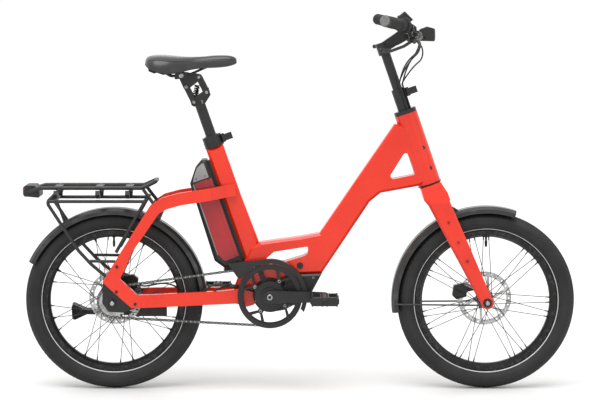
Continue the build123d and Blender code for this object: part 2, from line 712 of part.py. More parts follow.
def brake_perch(s):
    """A clamp on the bar with two cheeks and the pin that the lever turns on."""
    pivot, axis, _ = lever_frame(s)
    inner, outer = at_bar(*bar_points[2]), at_bar(*bar_points[1])
    inner, outer = (inner[0], s * inner[1], inner[2]), (outer[0], s * outer[1], outer[2])
    low, high = between(inner, outer, 72), between(inner, outer, 88)
    parts = [rod(low, high, 17)]
    for t in (-1, 1):
        cheek = shifted(pivot, axis, t * 6.5)
        parts.append(rod(shifted(pivot, axis, t * 5), shifted(pivot, axis, t * 8), 8))
        parts.append(rod(between(inner, outer, 80), between(cheek, between(inner, outer, 80), 7), 5))
    pin = rod(shifted(pivot, axis, -8), shifted(pivot, axis, 8), 2.5)
    bore = rod(between(inner, outer, 60), between(inner, outer, 100), bar_radius + seat_gap)
    space = rod(shifted(pivot, axis, -5), shifted(pivot, axis, 5), 9)
    return fused(without(fused(*parts), bore, space), pin)


def brake_lever(s):
    pivot, axis, blade = lever_frame(s)
    root = rod(shifted(pivot, axis, -4.7), shifted(pivot, axis, 4.7), 7)
    arm = tube([pivot] + blade, 4.5, 16)
    knob = Pos(*blade[-1]) * Sphere(6.5)
    hole = rod(shifted(pivot, axis, -8), shifted(pivot, axis, 8), 2.5 + running_gap)
    return without(fused(root, arm, knob), hole)


def handlebar():
    points = [at_bar(*p) for p in bar_points]
    path = [mirrored(p) for p in points] + points[::-1]
    sleeve = rod(at_bar(0, -45, 0), at_bar(0, 45, 0), bar_centre_radius)
    return fused(tube(path, bar_radius, 60), sleeve)


bar_solid = handlebar()
node("handlebar", bar_solid, brake_perch(-1), brake_perch(1))
node("brake_lever_right", brake_lever(-1))
node("brake_lever_left", brake_lever(1))


def grip(s, start):
    sleeve = rod(on_grip(s, start), on_grip(s, grip_end), grip_radius, bar_radius + seat_gap)
    cap = rod(on_grip(s, grip_end), on_grip(s, grip_end + 4), grip_radius)
    return fused(sleeve, cap)


shifter_start, shifter_end = 14.0, 45.0
node("grips", grip(-1, shifter_end + 1), grip(1, 16.0))
node("shift_grip", fused(
    rod(on_grip(-1, shifter_start), on_grip(-1, shifter_end), 18, bar_radius + running_gap),
    rod(on_grip(-1, shifter_start), on_grip(-1, shifter_start + 6), 24, bar_radius + running_gap)))


def display():
    x, z = bar_at
    body = slab([(x - 36, z + 39), (x - 13.5, z + 56), (x + 10.5, z + 32), (x - 12, z + 15)],
                -26, 26, edge=3)
    post = bar((x - 3, z + 18), (x - 12, z + 36), 6, 6, -9, 9)
    return without(fused(body, post), disc(bar_at, -30, 30, 21 + seat_gap))


node("display", display())


def headlight():
    x, z = bar_at
    body = slab([(x + 30, z - 30), (x + 74, z - 31), (x + 74, z + 6), (x + 52, z + 12),
                 (x + 30, z + 4)], -20, 20, radius=4)
    arm = slab([(x + 16, z - 14), (x + 34, z - 16), (x + 34, z), (x + 16, z)], -8, 8)
    return without(fused(body, arm), disc(bar_at, -30, 30, 21 + seat_gap))


node("headlight", headlight())


def cable(points):
    """A cable along its route; each bend is as large as its two runs allow."""
    vectors = [Vector(*p) for p in points]
    radii = []
    for a, b, c in zip(vectors, vectors[1:], vectors[2:]):
        turn = math.radians((b - a).get_angle(c - b))
        radii.append(0.45 * min((b - a).length, (c - b).length) / math.tan(turn / 2))
    print("cable bends", [round(r) for r in radii])
    return tube(points, cable_radius, radii)


tail_low, tail_high = 560.0, 688.0
cable_routes = [
    [at_bar(14, -146, -20), at_bar(30, -104, -32), at_bar(27, -66, -56),
     deep(on_steer(744, 44), -36)],
    [at_bar(12, -120, -14), at_bar(28, -74, -26), at_bar(22, -38, -60),
     deep(on_steer(738, 52), -17)],
    [at_bar(12, 60, -20), at_bar(40, 52, -38), at_bar(44, 38, -82),
     deep(on_steer(724, 66), 22)],
    [at_bar(14, 146, -20), at_bar(34, 106, -36), at_bar(37, 68, -62),
     deep(on_steer(740, 56), 38)]]
node("control_cables", *[cable(route + [cable_place(tail_high, a), cable_place(tail_low, a)])
                         for route, a in zip(cable_routes, cable_angles)])

# ---------------------------------------------------------------- seat post and saddle
low_rear, low_front = on_seat(610.5, -14), on_seat(625.5, 30.5)
link_x, link_z = -22.4, 44.7


def lifted(point):
    return (point[0] + link_x, point[1] + link_z)


high_rear, high_front = lifted(low_rear), lifted(low_front)
pin_radius, link_inner, link_outer = 3.5, 13.0, 18.0
head_half = link_inner - part_gap


def seat_post():
    head = slab([on_seat(597, -17), on_seat(597, 17), on_seat(614, 39), on_seat(634, 39),
                 on_seat(620, -23), on_seat(603, -24)], -head_half, head_half, radius=5)
    parts = [seat_rod(post_bottom, 600, post_radius), head]
    parts += [disc(p, -link_outer - 1, link_outer + 1, pin_radius) for p in (low_rear, low_front)]
    return without(fused(*parts), seat_rod(post_bottom - 5, 590, post_radius - 2.5))


def link(low, high, radius):
    plates = [bar(low, high, radius, radius, a, b)
              for a, b in ((link_inner, link_outer), (-link_outer, -link_inner))]
    return [without(p, disc(low, -40, 40, pin_radius + running_gap),
                    disc(high, -40, 40, pin_radius + running_gap)) for p in plates]


node("seat_post", seat_post())
node("suspension_link_rear", *link(low_rear, high_rear, 8))
node("suspension_link_front", *link(low_front, high_front, 9))
spring_low = between(deep(low_rear, 0), deep(high_front, 0), 8)
spring_high = between(deep(high_front, 0), deep(low_rear, 0), 25)
node("suspension_spring", without(rod(spring_low, spring_high, 8.5, 5.5), *nodes["seat_post"]))

rail_y = 22.0
clamp_at = (high_rear[0] - 14, high_rear[1] + 34)


def at_clamp(dx, dz):
    return (clamp_at[0] + dx, clamp_at[1] + dz)


def saddle_outline():
    return slab([at_clamp(-107, 47), at_clamp(-100, 55), at_clamp(-78, 60), at_clamp(22, 54),
                 at_clamp(112, 58), at_clamp(152, 57), at_clamp(162, 47), at_clamp(160, 35),
                 at_clamp(128, 24), at_clamp(52, 22), at_clamp(-27, 6), at_clamp(-88, 17),
                 at_clamp(-106, 32)], -85, 85, radius=4)


def saddle():
    xs = [-108, -102, -81, -36, 14, 64, 114, 154, 164]
    halves = [52, 70, 81, 80, 52, 30, 22, 17, 9]
    top = [(clamp_at[0] + x, y) for x, y in zip(xs, halves)]
    return saddle_outline() & plan(top + [(x, -y) for x, y in top[::-1]])


saddle_solid = saddle()


def rails():
    parts = []
    for s in (-1, 1):
        points = [deep(at_clamp(-62, 16), s * 30), deep(at_clamp(-30, -3), s * rail_y),
                  deep(at_clamp(26, 3), s * rail_y), deep(at_clamp(96, 34), s * 14)]
        parts.append(without(tube(points, 3.5, 14), saddle_solid))
    return parts


rail_solids = rails()
jaw = slab([at_clamp(-20, -12), at_clamp(18, -8), at_clamp(20, 9), at_clamp(-18, 9)], -28, 28,
           radius=4)
hull_edges = [e for p, r in ((high_rear, 9), (high_front, 9), (clamp_at, 10))
              for e in (Pos(*p) * Circle(r)).edges()]
yoke = extrude(side(head_half) * make_hull(hull_edges), amount=2 * head_half)
yoke_pins = [disc(p, -link_outer - 1, link_outer + 1, pin_radius) for p in (high_rear, high_front)]
clamp_block = without(fused(yoke, jaw, *yoke_pins), saddle_solid, *rail_solids)
node("saddle_clamp", clamp_block, *rail_solids)
node("saddle", saddle_solid)

# ---------------------------------------------------------------- battery and its mount
battery_low, battery_front, battery_back = 118.0, -35.0, -112.0
panel_depth = 1.5


def battery_outline(inset=0.0):
    return [on_seat(battery_low + inset, battery_front - inset),
            on_seat(battery_low + inset, -90 + inset),
            on_seat(150 + inset, battery_back + inset), on_seat(389, -104 + inset),
            on_seat(430 - inset, -72 + inset), on_seat(444 - inset, -48),
            on_seat(440 - inset, battery_front - inset)]


battery = slab(battery_outline(), -battery_half, battery_half, edge=9)
panel_points = [on_seat(140, -48), on_seat(140, -84), on_seat(165, -96), on_seat(385, -92),
                on_seat(385, -48)]
panels = both_sides(slab(panel_points, battery_half, battery_half + panel_depth, radius=8))
node("battery_case", battery)
node("battery_panels", *panels)
rail_low = battery_low - part_gap
rail = slab([on_seat(rail_low, battery_front + part_gap), on_seat(435, battery_front + part_gap),
             on_seat(435, -27), on_seat(rail_low, -27)], -18, 18)
foot = slab([on_seat(rail_low, -27), on_seat(rail_low, -96),
             on_seat(106, -92), on_seat(106, -50), on_seat(112, -27)], -30, 30)
node("battery_mount", without(fused(rail, foot), frame))

# ---------------------------------------------------------------- rack and tail light
rail_radius, leg_radius = 6.0, 5.0
rack_top = axle_z + 338 + tyre_growth


def at_rack(dx, y, dz):
    return (rear_x + dx, y, rack_top + dz)


def rack():
    """Bent and straight tubes that meet face to face where they are welded."""
    made = []

    def add(solid):
        made.append(without(solid, *made, rear_triangle))
    for s in (-1, 1):
        add(tube([at_rack(127, 0, 18), at_rack(127, s * 50, 18), at_rack(88, s * 59, 0),
                  at_rack(-207, s * 59, 0), at_rack(-246, s * 50, -12), at_rack(-246, 0, -12)],
                 rail_radius, 15))
    for dx in (-161, -40, 48):
        add(Pos(*at_rack(dx, 0, 1)) * Box(22, 118, 4))
    for s in (-1, 1):
        add(tube([at_rack(-152, s * 60, -3), at_rack(-190, s * 74, -41), at_rack(-97, s * 79, -183),
                  at_rack(-61, s * 80, -222), deep(at_rear(-14, 76), s * 80)], leg_radius, 14))
        add(rod(at_rack(-184, s * 76, -38), at_rack(100, s * 76, -38), leg_radius))
        add(rod(at_rack(102, s * 76, -30), deep(at_rear(12, 150), s * 77), leg_radius))
        add(rod(at_rack(-64, s * 79.6, -213), deep(at_rear(10, 124), s * 80.5), leg_radius - 0.6))
        add(rod(at_rack(92, s * 62, -4), deep(at_rear(123, 292), s * 72), leg_radius))
    x, z = polar(rear_axle, rear_fender_radius + tyre_growth, 122)
    add(rod(at_rack(-170, 0, -38), (x, 0, z - 1), 4))
    add(rod(at_rack(-168, -74, -38), at_rack(-168, 74, -38), 4))
    return made


rack_tubes = [without(s, nodes["rear_fender"][0]) for s in rack()]
node("rear_rack", *rack_tubes)
light = slab([(rear_x - 261, rack_top - 26), (rear_x - 214, rack_top - 30),
              (rear_x - 214, rack_top - 12), (rear_x - 228, rack_top + 6),
              (rear_x - 258, rack_top + 6)], -46, 46, radius=4)
node("tail_light", without(light, *rack_tubes))

# ---------------------------------------------------------------- kickstand
stand_at = deep(at_rear(63, -48), 103)
stand_axis = Vector(0, -0.942, -0.334).normalized()


def stand_plane(offset):
    return Plane(origin=shifted(stand_at, stand_axis, offset), x_dir=(-1, 0, 0), z_dir=stand_axis)


def stand_leg():
    shaft = make_hull(Circle(11).edges() + (Pos(158, 0) * Circle(7.5)).edges())
    foot_face = make_hull((Pos(158, 0) * Circle(7.5)).edges() + (Pos(192, 18) * Circle(7)).edges()
                          + (Pos(192, -18) * Circle(7)).edges())
    leg = extrude(stand_plane(-8) * shaft, amount=16)
    foot_solid = extrude(stand_plane(-10) * foot_face, amount=20)
    hole = rod(shifted(stand_at, stand_axis, -20), shifted(stand_at, stand_axis, 20),
               5 + running_gap)
    return without(fused(leg, foot_solid), hole)


def stand_bracket():
    x, z = stand_at[0], stand_at[2]
    block = slab([(x - 14, z - 12), (x + 88, z - 12), (x + 88, z + 44), (x - 14, z + 44)],
                 stay_inner, stay_outer)
    boss_rod = rod(shifted(stand_at, stand_axis, 20), shifted(stand_at, stand_axis, 8 + part_gap), 10)
    pin = rod(shifted(stand_at, stand_axis, 20), shifted(stand_at, stand_axis, -10), 5)
    return without(fused(block, boss_rod, pin), rear_triangle, *nodes["dropout_plates"])


node("kickstand_bracket", stand_bracket())
node("kickstand_leg", stand_leg())

# ---------------------------------------------------------------- brakes and front fender
def caliper(centre, axle, low, high, disc_y):
    body = slab([(centre[0] - 22, centre[1] - 12), (centre[0] - 10, centre[1] - 24),
                 (centre[0] + 20, centre[1] - 16), (centre[0] + 24, centre[1] + 12),
                 (centre[0] + 8, centre[1] + 24), (centre[0] - 18, centre[1] + 18)],
                low, high, radius=4)
    return without(body, disc(axle, disc_y - 2, disc_y + disc_thickness + 2, disc_radius + 4))


rear_caliper = caliper(at_rear(44, 46), rear_axle, 43, rear_drop, rear_disc_y)
node("rear_brake_caliper", rear_caliper)
front_at = (front_x - 75, axle_z + 21)
front_caliper = caliper(front_at, front_axle, 28, front_drop, front_disc_y)
caliper_arm = bar((front_x - 66, axle_z + 24), (front_x - 14, axle_z + 34), 9, 8,
                  front_drop - 6, front_drop)
node("front_brake_caliper", fused(front_caliper, caliper_arm))


def front_fender():
    mudguard = fender(front_axle, front_fender_radius, 71.7, 115.7)
    parts = [mudguard]
    for s in (-1, 1):
        rear_end_point = deep(polar(front_axle, front_fender_radius + tyre_growth - 10, 182),
                              s * (fender_half - 1))
        front_end_point = (front_x - 20, s * (front_drop - 2.5), axle_z - 10)
        parts.append(rod(rear_end_point, front_end_point, 2.5))
        parts.append(disc((front_x - 20, axle_z - 10), *sorted((s * 44, s * front_drop)), 6))
    tongue = bar(polar(front_axle, front_fender_radius + tyre_growth - 1, 109), on_steer(322, 8),
                 8, 8, -10, 10)
    return without(fused(*parts, tongue), *nodes["fork"])


node("front_fender", front_fender())

# ---------------------------------------------------------------- cables along the chain stays
hose_radius = 2.5
hose_routes = [
    [deep(at_rear(61, 39), 58), deep(at_rear(79, 31), 66), deep(at_rear(105, 34), 76),
     deep(at_rear(139, 41), 77), deep(at_rear(173, 35), 71), deep(at_rear(201, 19), 65)],
    [deep(at_bb(-40, 17), -38), deep(at_bb(-72, 25), -41), deep(at_bb(-106, 30), -43),
     deep(at_bb(-142, 35), -46), deep(at_bb(-176, 30), -50), deep(at_bb(-202, 10), -54)],
    [deep(at_bb(-40, 8), -36), deep(at_bb(-76, 19), -36), deep(at_bb(-112, 25), -36),
     deep(at_bb(-146, 25), -38), deep(at_bb(-174, 8), -44)]]


def hose(points):
    """A hose that comes out of one part and goes into another, cut where it enters them."""
    whole = tube(points, hose_radius, [16] * (len(points) - 2))
    cut = without(whole, frame, rear_triangle, *nodes["motor_unit"], *nodes["rear_brake_caliper"])
    return max(cut.solids(), key=lambda solid: solid.volume)


node("rear_hoses", *[hose(route) for route in hose_routes])

for name, solids in nodes.items():
    print(name, len(solids), round(sum(s.volume for s in solids) / 1000, 1))
    export_step(Compound(children=list(solids)), f"parts/{name}.step")
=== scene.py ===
import json
import math

import bmesh
import bpy
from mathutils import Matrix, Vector


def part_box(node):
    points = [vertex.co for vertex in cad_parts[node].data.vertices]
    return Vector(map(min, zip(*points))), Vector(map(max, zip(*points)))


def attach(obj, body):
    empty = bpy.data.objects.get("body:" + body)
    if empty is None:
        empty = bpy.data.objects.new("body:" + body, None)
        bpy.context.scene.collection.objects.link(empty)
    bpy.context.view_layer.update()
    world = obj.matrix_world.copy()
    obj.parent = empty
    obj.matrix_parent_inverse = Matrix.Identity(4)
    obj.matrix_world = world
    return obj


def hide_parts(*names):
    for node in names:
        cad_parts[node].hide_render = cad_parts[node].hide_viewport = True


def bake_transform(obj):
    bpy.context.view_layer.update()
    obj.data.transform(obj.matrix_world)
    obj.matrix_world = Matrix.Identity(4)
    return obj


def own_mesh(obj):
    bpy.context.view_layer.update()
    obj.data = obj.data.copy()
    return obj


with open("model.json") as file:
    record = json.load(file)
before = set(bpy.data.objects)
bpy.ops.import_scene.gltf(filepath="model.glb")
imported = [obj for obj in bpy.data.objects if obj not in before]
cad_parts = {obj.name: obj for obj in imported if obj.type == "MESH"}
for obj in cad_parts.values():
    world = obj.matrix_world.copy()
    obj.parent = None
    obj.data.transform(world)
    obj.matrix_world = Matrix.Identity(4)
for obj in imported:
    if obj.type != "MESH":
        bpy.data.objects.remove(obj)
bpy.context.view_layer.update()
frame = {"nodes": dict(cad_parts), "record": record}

# A compact electric bicycle. X points forwards, Y to the rider's left, Z up. Sizes below are in
# millimetres, and MM turns them into the metres of the frame.
MM = 0.001

# ---------------------------------------------------------------- places on the bicycle
HEAD_LEAN, SEAT_LEAN = math.radians(19.0), math.radians(19.3)
FORK_OFFSET, SEAT_SET_BACK = 46.0, 8.8


def node_box(name):
    low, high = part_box(name)
    return low / MM, high / MM


def node_middle(name):
    low, high = node_box(name)
    return (low + high) / 2


REAR, FRONT = ((p.x, p.z) for p in (node_middle("rear_rim"), node_middle("front_rim")))
AXLE_Z = REAR[1]
BRACKET = (REAR[0] + 462.5, AXLE_Z + 19.0)


def tilted(base, lean, along, ahead):
    s, c = math.sin(lean), math.cos(lean)
    return (base[0] - along * s + ahead * c, base[1] + along * c + ahead * s)


STEER_BASE = tilted(FRONT, HEAD_LEAN, 0, -FORK_OFFSET)
SEAT_BASE = tilted(BRACKET, SEAT_LEAN, 0, -SEAT_SET_BACK)


def on_steer(along, ahead=0.0):
    return tilted(STEER_BASE, HEAD_LEAN, along, ahead)


def on_seat(along, ahead=0.0):
    return tilted(SEAT_BASE, SEAT_LEAN, along, ahead)


def polar(centre, radius, degrees):
    a = math.radians(degrees)
    return (centre[0] + radius * math.cos(a), centre[1] + radius * math.sin(a))


def at_rear(dx, dz):
    return (REAR[0] + dx, REAR[1] + dz)


def at_bb(dx, dz):
    return (BRACKET[0] + dx, BRACKET[1] + dz)


def deep(point, y):
    return Vector((point[0], y, point[1]))


BAR = on_steer(828.5, 88.0)


def at_bar(dx, y, dz):
    return Vector((BAR[0] + dx, y, BAR[1] + dz))


STEER_AXIS = Vector((-math.sin(HEAD_LEAN), 0, math.cos(HEAD_LEAN)))
SEAT_AXIS = Vector((-math.sin(SEAT_LEAN), 0, math.cos(SEAT_LEAN)))
Y_AXIS = Vector((0, 1, 0))


# ---------------------------------------------------------------- materials
def linear(r, g, b):
    """A colour given as 0-255 screen values."""
    return tuple((c / 255 / 12.92) if c / 255 <= 0.04045 else ((c / 255 + 0.055) / 1.055) ** 2.4
                 for c in (r, g, b)) + (1.0,)


class Surface:
    """A node material: two patchy colours, uneven roughness and a fine raised grain."""

    def __init__(self, name, dark, light, rough, metallic=0.0, patch=30.0, grain=900.0, height=0.02,
                 coat=0.0, specular=0.38, detail=4.0, contrast=(0.35, 0.65), sheen=0.0):
        self.material = bpy.data.materials.new(name)
        self.material.use_nodes = True
        self.nodes, self.links = self.material.node_tree.nodes, self.material.node_tree.links
        self.shader = self.nodes["Principled BSDF"]
        self.place = self.nodes.new("ShaderNodeTexCoord").outputs["Object"]
        patches = self.noise(patch, detail)
        self.ramp = self.nodes.new("ShaderNodeValToRGB")
        for element, at, colour in zip(self.ramp.color_ramp.elements, contrast, (dark, light)):
            element.position, element.color = at, colour
        self.join(patches, self.ramp.inputs["Fac"])
        self.colour = self.ramp.outputs["Color"]
        spread = self.nodes.new("ShaderNodeMapRange")
        spread.inputs["To Min"].default_value, spread.inputs["To Max"].default_value = rough
        self.join(self.noise(patch * 2.3, detail), spread.inputs["Value"])
        self.join(spread.outputs["Result"], self.shader.inputs["Roughness"])
        self.height = self.noise(grain, 3.0)
        self.bump = self.nodes.new("ShaderNodeBump")
        self.bump.inputs["Strength"].default_value = height
        self.bump.inputs["Distance"].default_value = 0.001
        self.shader.inputs["Metallic"].default_value = metallic
        self.shader.inputs["Specular IOR Level"].default_value = specular
        self.shader.inputs["Coat Weight"].default_value = coat
        self.shader.inputs["Coat Roughness"].default_value = 0.04
        self.shader.inputs["Sheen Weight"].default_value = sheen

    def join(self, output, to):
        self.links.new(output, to)

    def noise(self, scale, detail, stretch=None):
        texture = self.nodes.new("ShaderNodeTexNoise")
        texture.inputs["Scale"].default_value = scale
        texture.inputs["Detail"].default_value = detail
        place = self.place
        if stretch:
            mapping = self.nodes.new("ShaderNodeMapping")
            mapping.inputs["Scale"].default_value = stretch
            self.join(place, mapping.inputs["Vector"])
            place = mapping.outputs["Vector"]
        self.join(place, texture.inputs["Vector"])
        return texture.outputs["Fac"]

    def mix(self, factor, a, b):
        """Colour b over colour a by a factor output; a is an output, b a colour."""
        node = self.nodes.new("ShaderNodeMix")
        node.data_type = "RGBA"
        self.join(factor, node.inputs["Factor"])
        self.join(a, node.inputs["A"])
        node.inputs["B"].default_value = b
        return node.outputs["Result"]

    def spots(self, scale, size, colour):
        """Small scattered flecks, such as dust or flake."""
        cells = self.nodes.new("ShaderNodeTexVoronoi")
        cells.inputs["Scale"].default_value = scale
        self.join(self.place, cells.inputs["Vector"])
        near = self.nodes.new("ShaderNodeMapRange")
        near.inputs["From Min"].default_value, near.inputs["From Max"].default_value = size, 0.0
        self.join(cells.outputs["Distance"], near.inputs["Value"])
        self.colour = self.mix(near.outputs["Result"], self.colour, colour)
        return self

    def streaks(self, scale, stretch, colour, at=(0.5, 0.75)):
        """Long fine marks, such as brushing or rubbed edges."""
        marks = self.noise(scale, 6.0, stretch)
        limit = self.nodes.new("ShaderNodeMapRange")
        limit.inputs["From Min"].default_value, limit.inputs["From Max"].default_value = at
        self.join(marks, limit.inputs["Value"])
        self.colour = self.mix(limit.outputs["Result"], self.colour, colour)
        return self

    def leather(self, scale):
        """Cells with rounded tops in place of the fine grain."""
        cells = self.nodes.new("ShaderNodeTexVoronoi")
        cells.inputs["Scale"].default_value = scale
        self.join(self.place, cells.inputs["Vector"])
        self.height = cells.outputs["Distance"]
        return self

    def done(self):
        self.join(self.height, self.bump.inputs["Height"])
        self.join(self.bump.outputs["Normal"], self.shader.inputs["Normal"])
        self.join(self.colour, self.shader.inputs["Base Color"])
        return self.material


def grey(a, b):
    return linear(a, a, a), linear(b, b, b)


PAINT_DARK, PAINT_LIGHT = linear(203, 34, 10), linear(213, 43, 15)
slots = {
    "frame_paint": Surface("Frame paint", PAINT_DARK, PAINT_LIGHT, (0.22, 0.32), coat=0.35,
                           specular=0.3, patch=6, grain=260,
                           height=0.012).spots(4000, 0.12, linear(250, 84, 52)).done(),
    "black_metal": Surface("Satin black alloy", *grey(14, 22), (0.3, 0.44), patch=40, grain=1500,
                           height=0.05, coat=0.15).spots(900, 0.06, linear(66, 66, 66)).done(),
    "rack_metal": Surface("Rack powder coat", *grey(24, 34), (0.34, 0.5), patch=25, grain=1800,
                          height=0.12, coat=0.1).spots(1400, 0.08, linear(80, 80, 80)).done(),
    "rim_metal": Surface("Rim anodising", *grey(16, 24), (0.28, 0.4), metallic=0.3, patch=20,
                         grain=1300, height=0.04).streaks(90, (1, 14, 1), linear(58, 58, 60)).done(),
    "steel": Surface("Bright steel", *grey(150, 185), (0.2, 0.36), metallic=0.95, patch=60,
                     grain=1400, height=0.05).streaks(300, (1, 12, 1), linear(96, 96, 98)).done(),
    "disc_steel": Surface("Brake disc steel", *grey(165, 200), (0.18, 0.32), metallic=1.0, patch=90,
                          grain=2500, height=0.06).streaks(260, (9, 1, 9), linear(120, 118, 116)).done(),
    "spoke_steel": Surface("Black spoke", *grey(34, 50), (0.25, 0.4), metallic=0.6, patch=50,
                           grain=1800, height=0.03).spots(500, 0.08, linear(90, 90, 92)).done(),
    "spring_steel": Surface("Spring lacquer", *grey(24, 38), (0.25, 0.4), metallic=0.7, patch=70,
                            grain=1200, height=0.05).spots(700, 0.08, linear(120, 120, 120)).done(),
    "fender_plastic": Surface("Mudguard plastic", *grey(24, 34), (0.3, 0.42), patch=9, grain=2200,
                              height=0.06, coat=0.2).streaks(24, (1, 8, 1), linear(62, 62, 62)).done(),
    "guard_plastic": Surface("Guard plastic", *grey(22, 32), (0.36, 0.5), patch=14, grain=2600,
                             height=0.1).spots(1800, 0.07, linear(76, 76, 76)).done(),
    "motor_case": Surface("Cast motor case", *grey(24, 36), (0.4, 0.55), metallic=0.2, patch=30,
                          grain=1100, height=0.16).spots(1200, 0.1, linear(78, 78, 78)).done(),
    "pedal_plastic": Surface("Pedal plastic", *grey(18, 28), (0.42, 0.58), patch=30, grain=1500,
                             height=0.12).spots(900, 0.07, linear(70, 70, 70)).done(),
    "tyre_rubber": Surface("Tyre rubber", *grey(20, 30), (0.55, 0.75), patch=18, grain=1700,
                           height=0.12).spots(600, 0.08, linear(74, 72, 68)).done(),
    "grip_rubber": Surface("Grip rubber", *grey(24, 34), (0.5, 0.7), patch=50, grain=2400,
                           height=0.2).spots(1200, 0.08, linear(76, 76, 76)).done(),
    "cable_sheath": Surface("Cable sheath", *grey(12, 20), (0.32, 0.45), patch=60, grain=2000,
                            height=0.05).spots(800, 0.07, linear(60, 60, 60)).done(),
    "battery_shell": Surface("Battery shell", *grey(24, 32), (0.34, 0.46), patch=12, grain=2400,
                             height=0.08).spots(1700, 0.07, linear(76, 76, 76)).done(),
    "battery_side": Surface("Battery side", linear(104, 16, 26), linear(158, 26, 32), (0.16, 0.26),
                            patch=7, grain=900, height=0.02, coat=0.4, specular=0.3,
                            contrast=(0.3, 0.7)).spots(2500, 0.1, linear(150, 70, 74)).done(),
    "saddle_cover": Surface("Saddle cover", *grey(26, 36), (0.3, 0.42), patch=16, height=0.1,
                            coat=0.25, sheen=0.1).leather(900).done(),
    "lamp_front": Surface("Front lamp lens", *grey(210, 235), (0.05, 0.12), patch=300, grain=500,
                          height=0.3, coat=1.0).done(),
    "lamp_rear": Surface("Rear lamp lens", linear(120, 8, 8), linear(176, 16, 14), (0.08, 0.16),
                         patch=300, grain=420, height=0.4, coat=1.0).done(),
    "display_glass": Surface("Display glass", *grey(14, 22), (0.04, 0.1), patch=40, grain=300,
                             height=0.01, coat=1.0).streaks(30, (1, 1, 1), linear(34, 38, 44)).done(),
}

extra = {
    "stripe": Surface("Reflective line", *grey(176, 196), (0.3, 0.45), patch=60, grain=2600,
                      height=0.08).spots(3000, 0.2, linear(220, 222, 226)).done(),
    "grip_cap": Surface("Grip cap", *grey(96, 112), (0.4, 0.55), patch=60, grain=1600,
                        height=0.08).spots(1500, 0.08, linear(130, 130, 130)).done(),
    "chain": Surface("Chain plates", *grey(70, 100), (0.25, 0.42), metallic=0.85, patch=120,
                     grain=1500, height=0.06).spots(900, 0.1, linear(40, 36, 32)).done(),
    "trim": Surface("Battery trim", *grey(118, 136), (0.32, 0.44), patch=18, grain=2400,
                    height=0.06).spots(2000, 0.08, linear(150, 150, 152)).done(),
}
slot_of = {row["node"]: row["material_slot"] for row in frame["record"]["subparts"]}


def paint(obj, *materials):
    obj.data.materials.clear()
    for material in materials:
        obj.data.materials.append(material)


for name, obj in frame["nodes"].items():
    paint(obj, slots[slot_of[name]])

# ---------------------------------------------------------------- shape helpers
def square_to(axis):
    """Two directions square to an axis and to each other."""
    axis = Vector(axis).normalized()
    first = axis.cross(Vector((1, 0, 0)) if abs(axis.x) < 0.7 else Vector((0, 0, 1))).normalized()
    return first, axis.cross(first)


